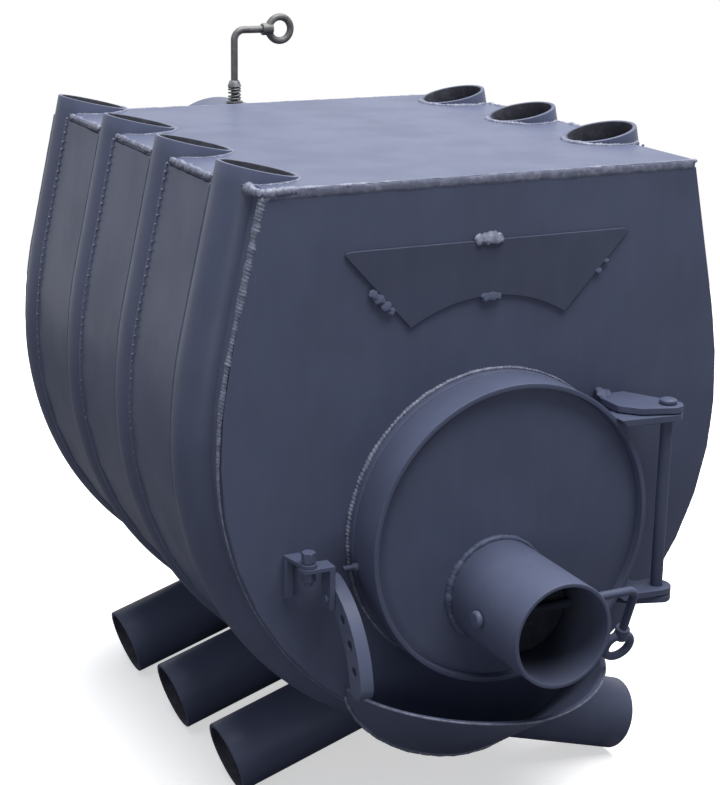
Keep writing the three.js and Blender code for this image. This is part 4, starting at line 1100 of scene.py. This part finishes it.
def tackLumps(key, out, firstSeed):
    return [lump(place, out, size, height, seed, 24, 11)
            for seed, (place, size, height) in enumerate(tacks[key], firstSeed)]


casingBeads += tackLumps("bright", (0, -1, 0.5), 80)
paintedTacks = tackLumps("painted", (0, -1, 0.35), 90) + tackLumps("lug", (0.2, -0.6, 1), 105)
makeRelief("painted_tacks", paintedTacks, paint)
# the casing's beads take the weld finish, with its painted highlight and painted shade
makeRelief("casing_welds", casingBeads, weld)
makeRelief("door_welds", doorBeads, paint, "door")
print("welds made")

# As solved from the photo, in metres
camera = {
    "place": (-0.6311, -1.2586, 0.6990), "target": (0.05005, 0.108, 0.2422), "roll": radians(0.927),
    "lens": 83.27, "sensor": 36, "clip": (0.05, 60),
}
cameraData = bpy.data.cameras.new("photoView")
cameraData.lens = camera["lens"]
cameraData.sensor_width = camera["sensor"]
cameraData.clip_start, cameraData.clip_end = camera["clip"]
cameraObject = addObject("photoView", cameraData)
forward = (Vector(camera["target"]) - Vector(camera["place"])).normalized()
sideways = forward.cross(Vector((0, 0, 1))).normalized()
upright = sideways.cross(forward)
turnedSide = sideways * np.cos(camera["roll"]) + upright * np.sin(camera["roll"])
turnedUp = upright * np.cos(camera["roll"]) - sideways * np.sin(camera["roll"])
turn = Matrix((turnedSide, turnedUp, -forward)).transposed().to_4x4()
cameraObject.matrix_world = Matrix.Translation(camera["place"]) @ turn
bpy.context.scene.camera = cameraObject

light = {
    "key": {"place": (0.28, -0.10, 2.4), "size": (2.85, 2.2), "power": 142, "colour": (1.0, 0.99, 0.98)},
    "side": {"place": (-1.9, -1.6, 0.5), "size": (0.6, 1.0), "power": 8, "colour": (0.96, 0.98, 1.0)},
    "aim": (0, 0, 0.25),  # in metres, as the places
    "sky": (0.132, 0.144, 0.178),
    "floor": (0.86, 0.86, 0.87), "floorGlow": 0.55,
    "floorBounce": (0.16, 0.16, 0.17), "floorRadius": 1.7, "floorDrop": 0.0005, "floorSides": 96,
}


def addLamp(name, sizes):
    lamp = bpy.data.lights.new(name, "AREA")
    lamp.shape = "RECTANGLE"
    lamp.size, lamp.size_y = sizes["size"]
    lamp.energy = sizes["power"]
    lamp.color = sizes["colour"]
    aim = Vector(light["aim"]) - Vector(sizes["place"])
    turn = aim.to_track_quat("-Z", "Y").to_matrix().to_4x4()
    addObject(name, lamp).matrix_world = Matrix.Translation(sizes["place"]) @ turn


addLamp("overheadSoftbox", light["key"])
addLamp("sideSoftbox", light["side"])


# Seen directly or in a reflection the surroundings are white; they light matt surfaces as a dim sky
def makeSurroundings():
    world = bpy.data.worlds.new("studio")
    bpy.context.scene.world = world
    sky = Finish(world)
    rays = sky.add("LightPath", output="Is Camera Ray")
    seen = rays
    for name in ("Is Glossy Ray", "Is Transmission Ray"):
        seen = seen.most(sky.add("LightPath", output=name))
    colour = seen.blend(light["sky"], (1, 1, 1))
    background = sky.add("Background", {}, {"Color": colour, "Strength": 1.0})
    sky.add("OutputWorld", {}, {"Surface": background})


# A round floor just under the stove: pale and aglow to the camera, darker as it lights the stove
def makeFloor():
    finish = newFinish("paleFloor")
    rays = finish.add("LightPath", output="Is Camera Ray")
    material = finish.surface({
        "Base Color": rays.blend(light["floorBounce"], light["floor"]), "Roughness": 0.9,
        "Specular IOR Level": 0.1, "Emission Color": (1, 1, 1),
        "Emission Strength": rays * light["floorGlow"]})
    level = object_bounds()[0][2] - light["floorDrop"]
    angle = circle(light["floorSides"])
    rim = np.stack([np.cos(angle), np.sin(angle), np.zeros_like(angle)], 1) * light["floorRadius"]
    rim[:, 2] += level
    mesh = bpy.data.meshes.new("floor")
    mesh.from_pydata(rim.tolist(), [], [list(range(light["floorSides"]))])
    mesh.materials.append(material)
    addObject("floor", mesh)


makeSurroundings()
makeFloor()
bpy.context.scene.view_settings.view_transform = "Standard"
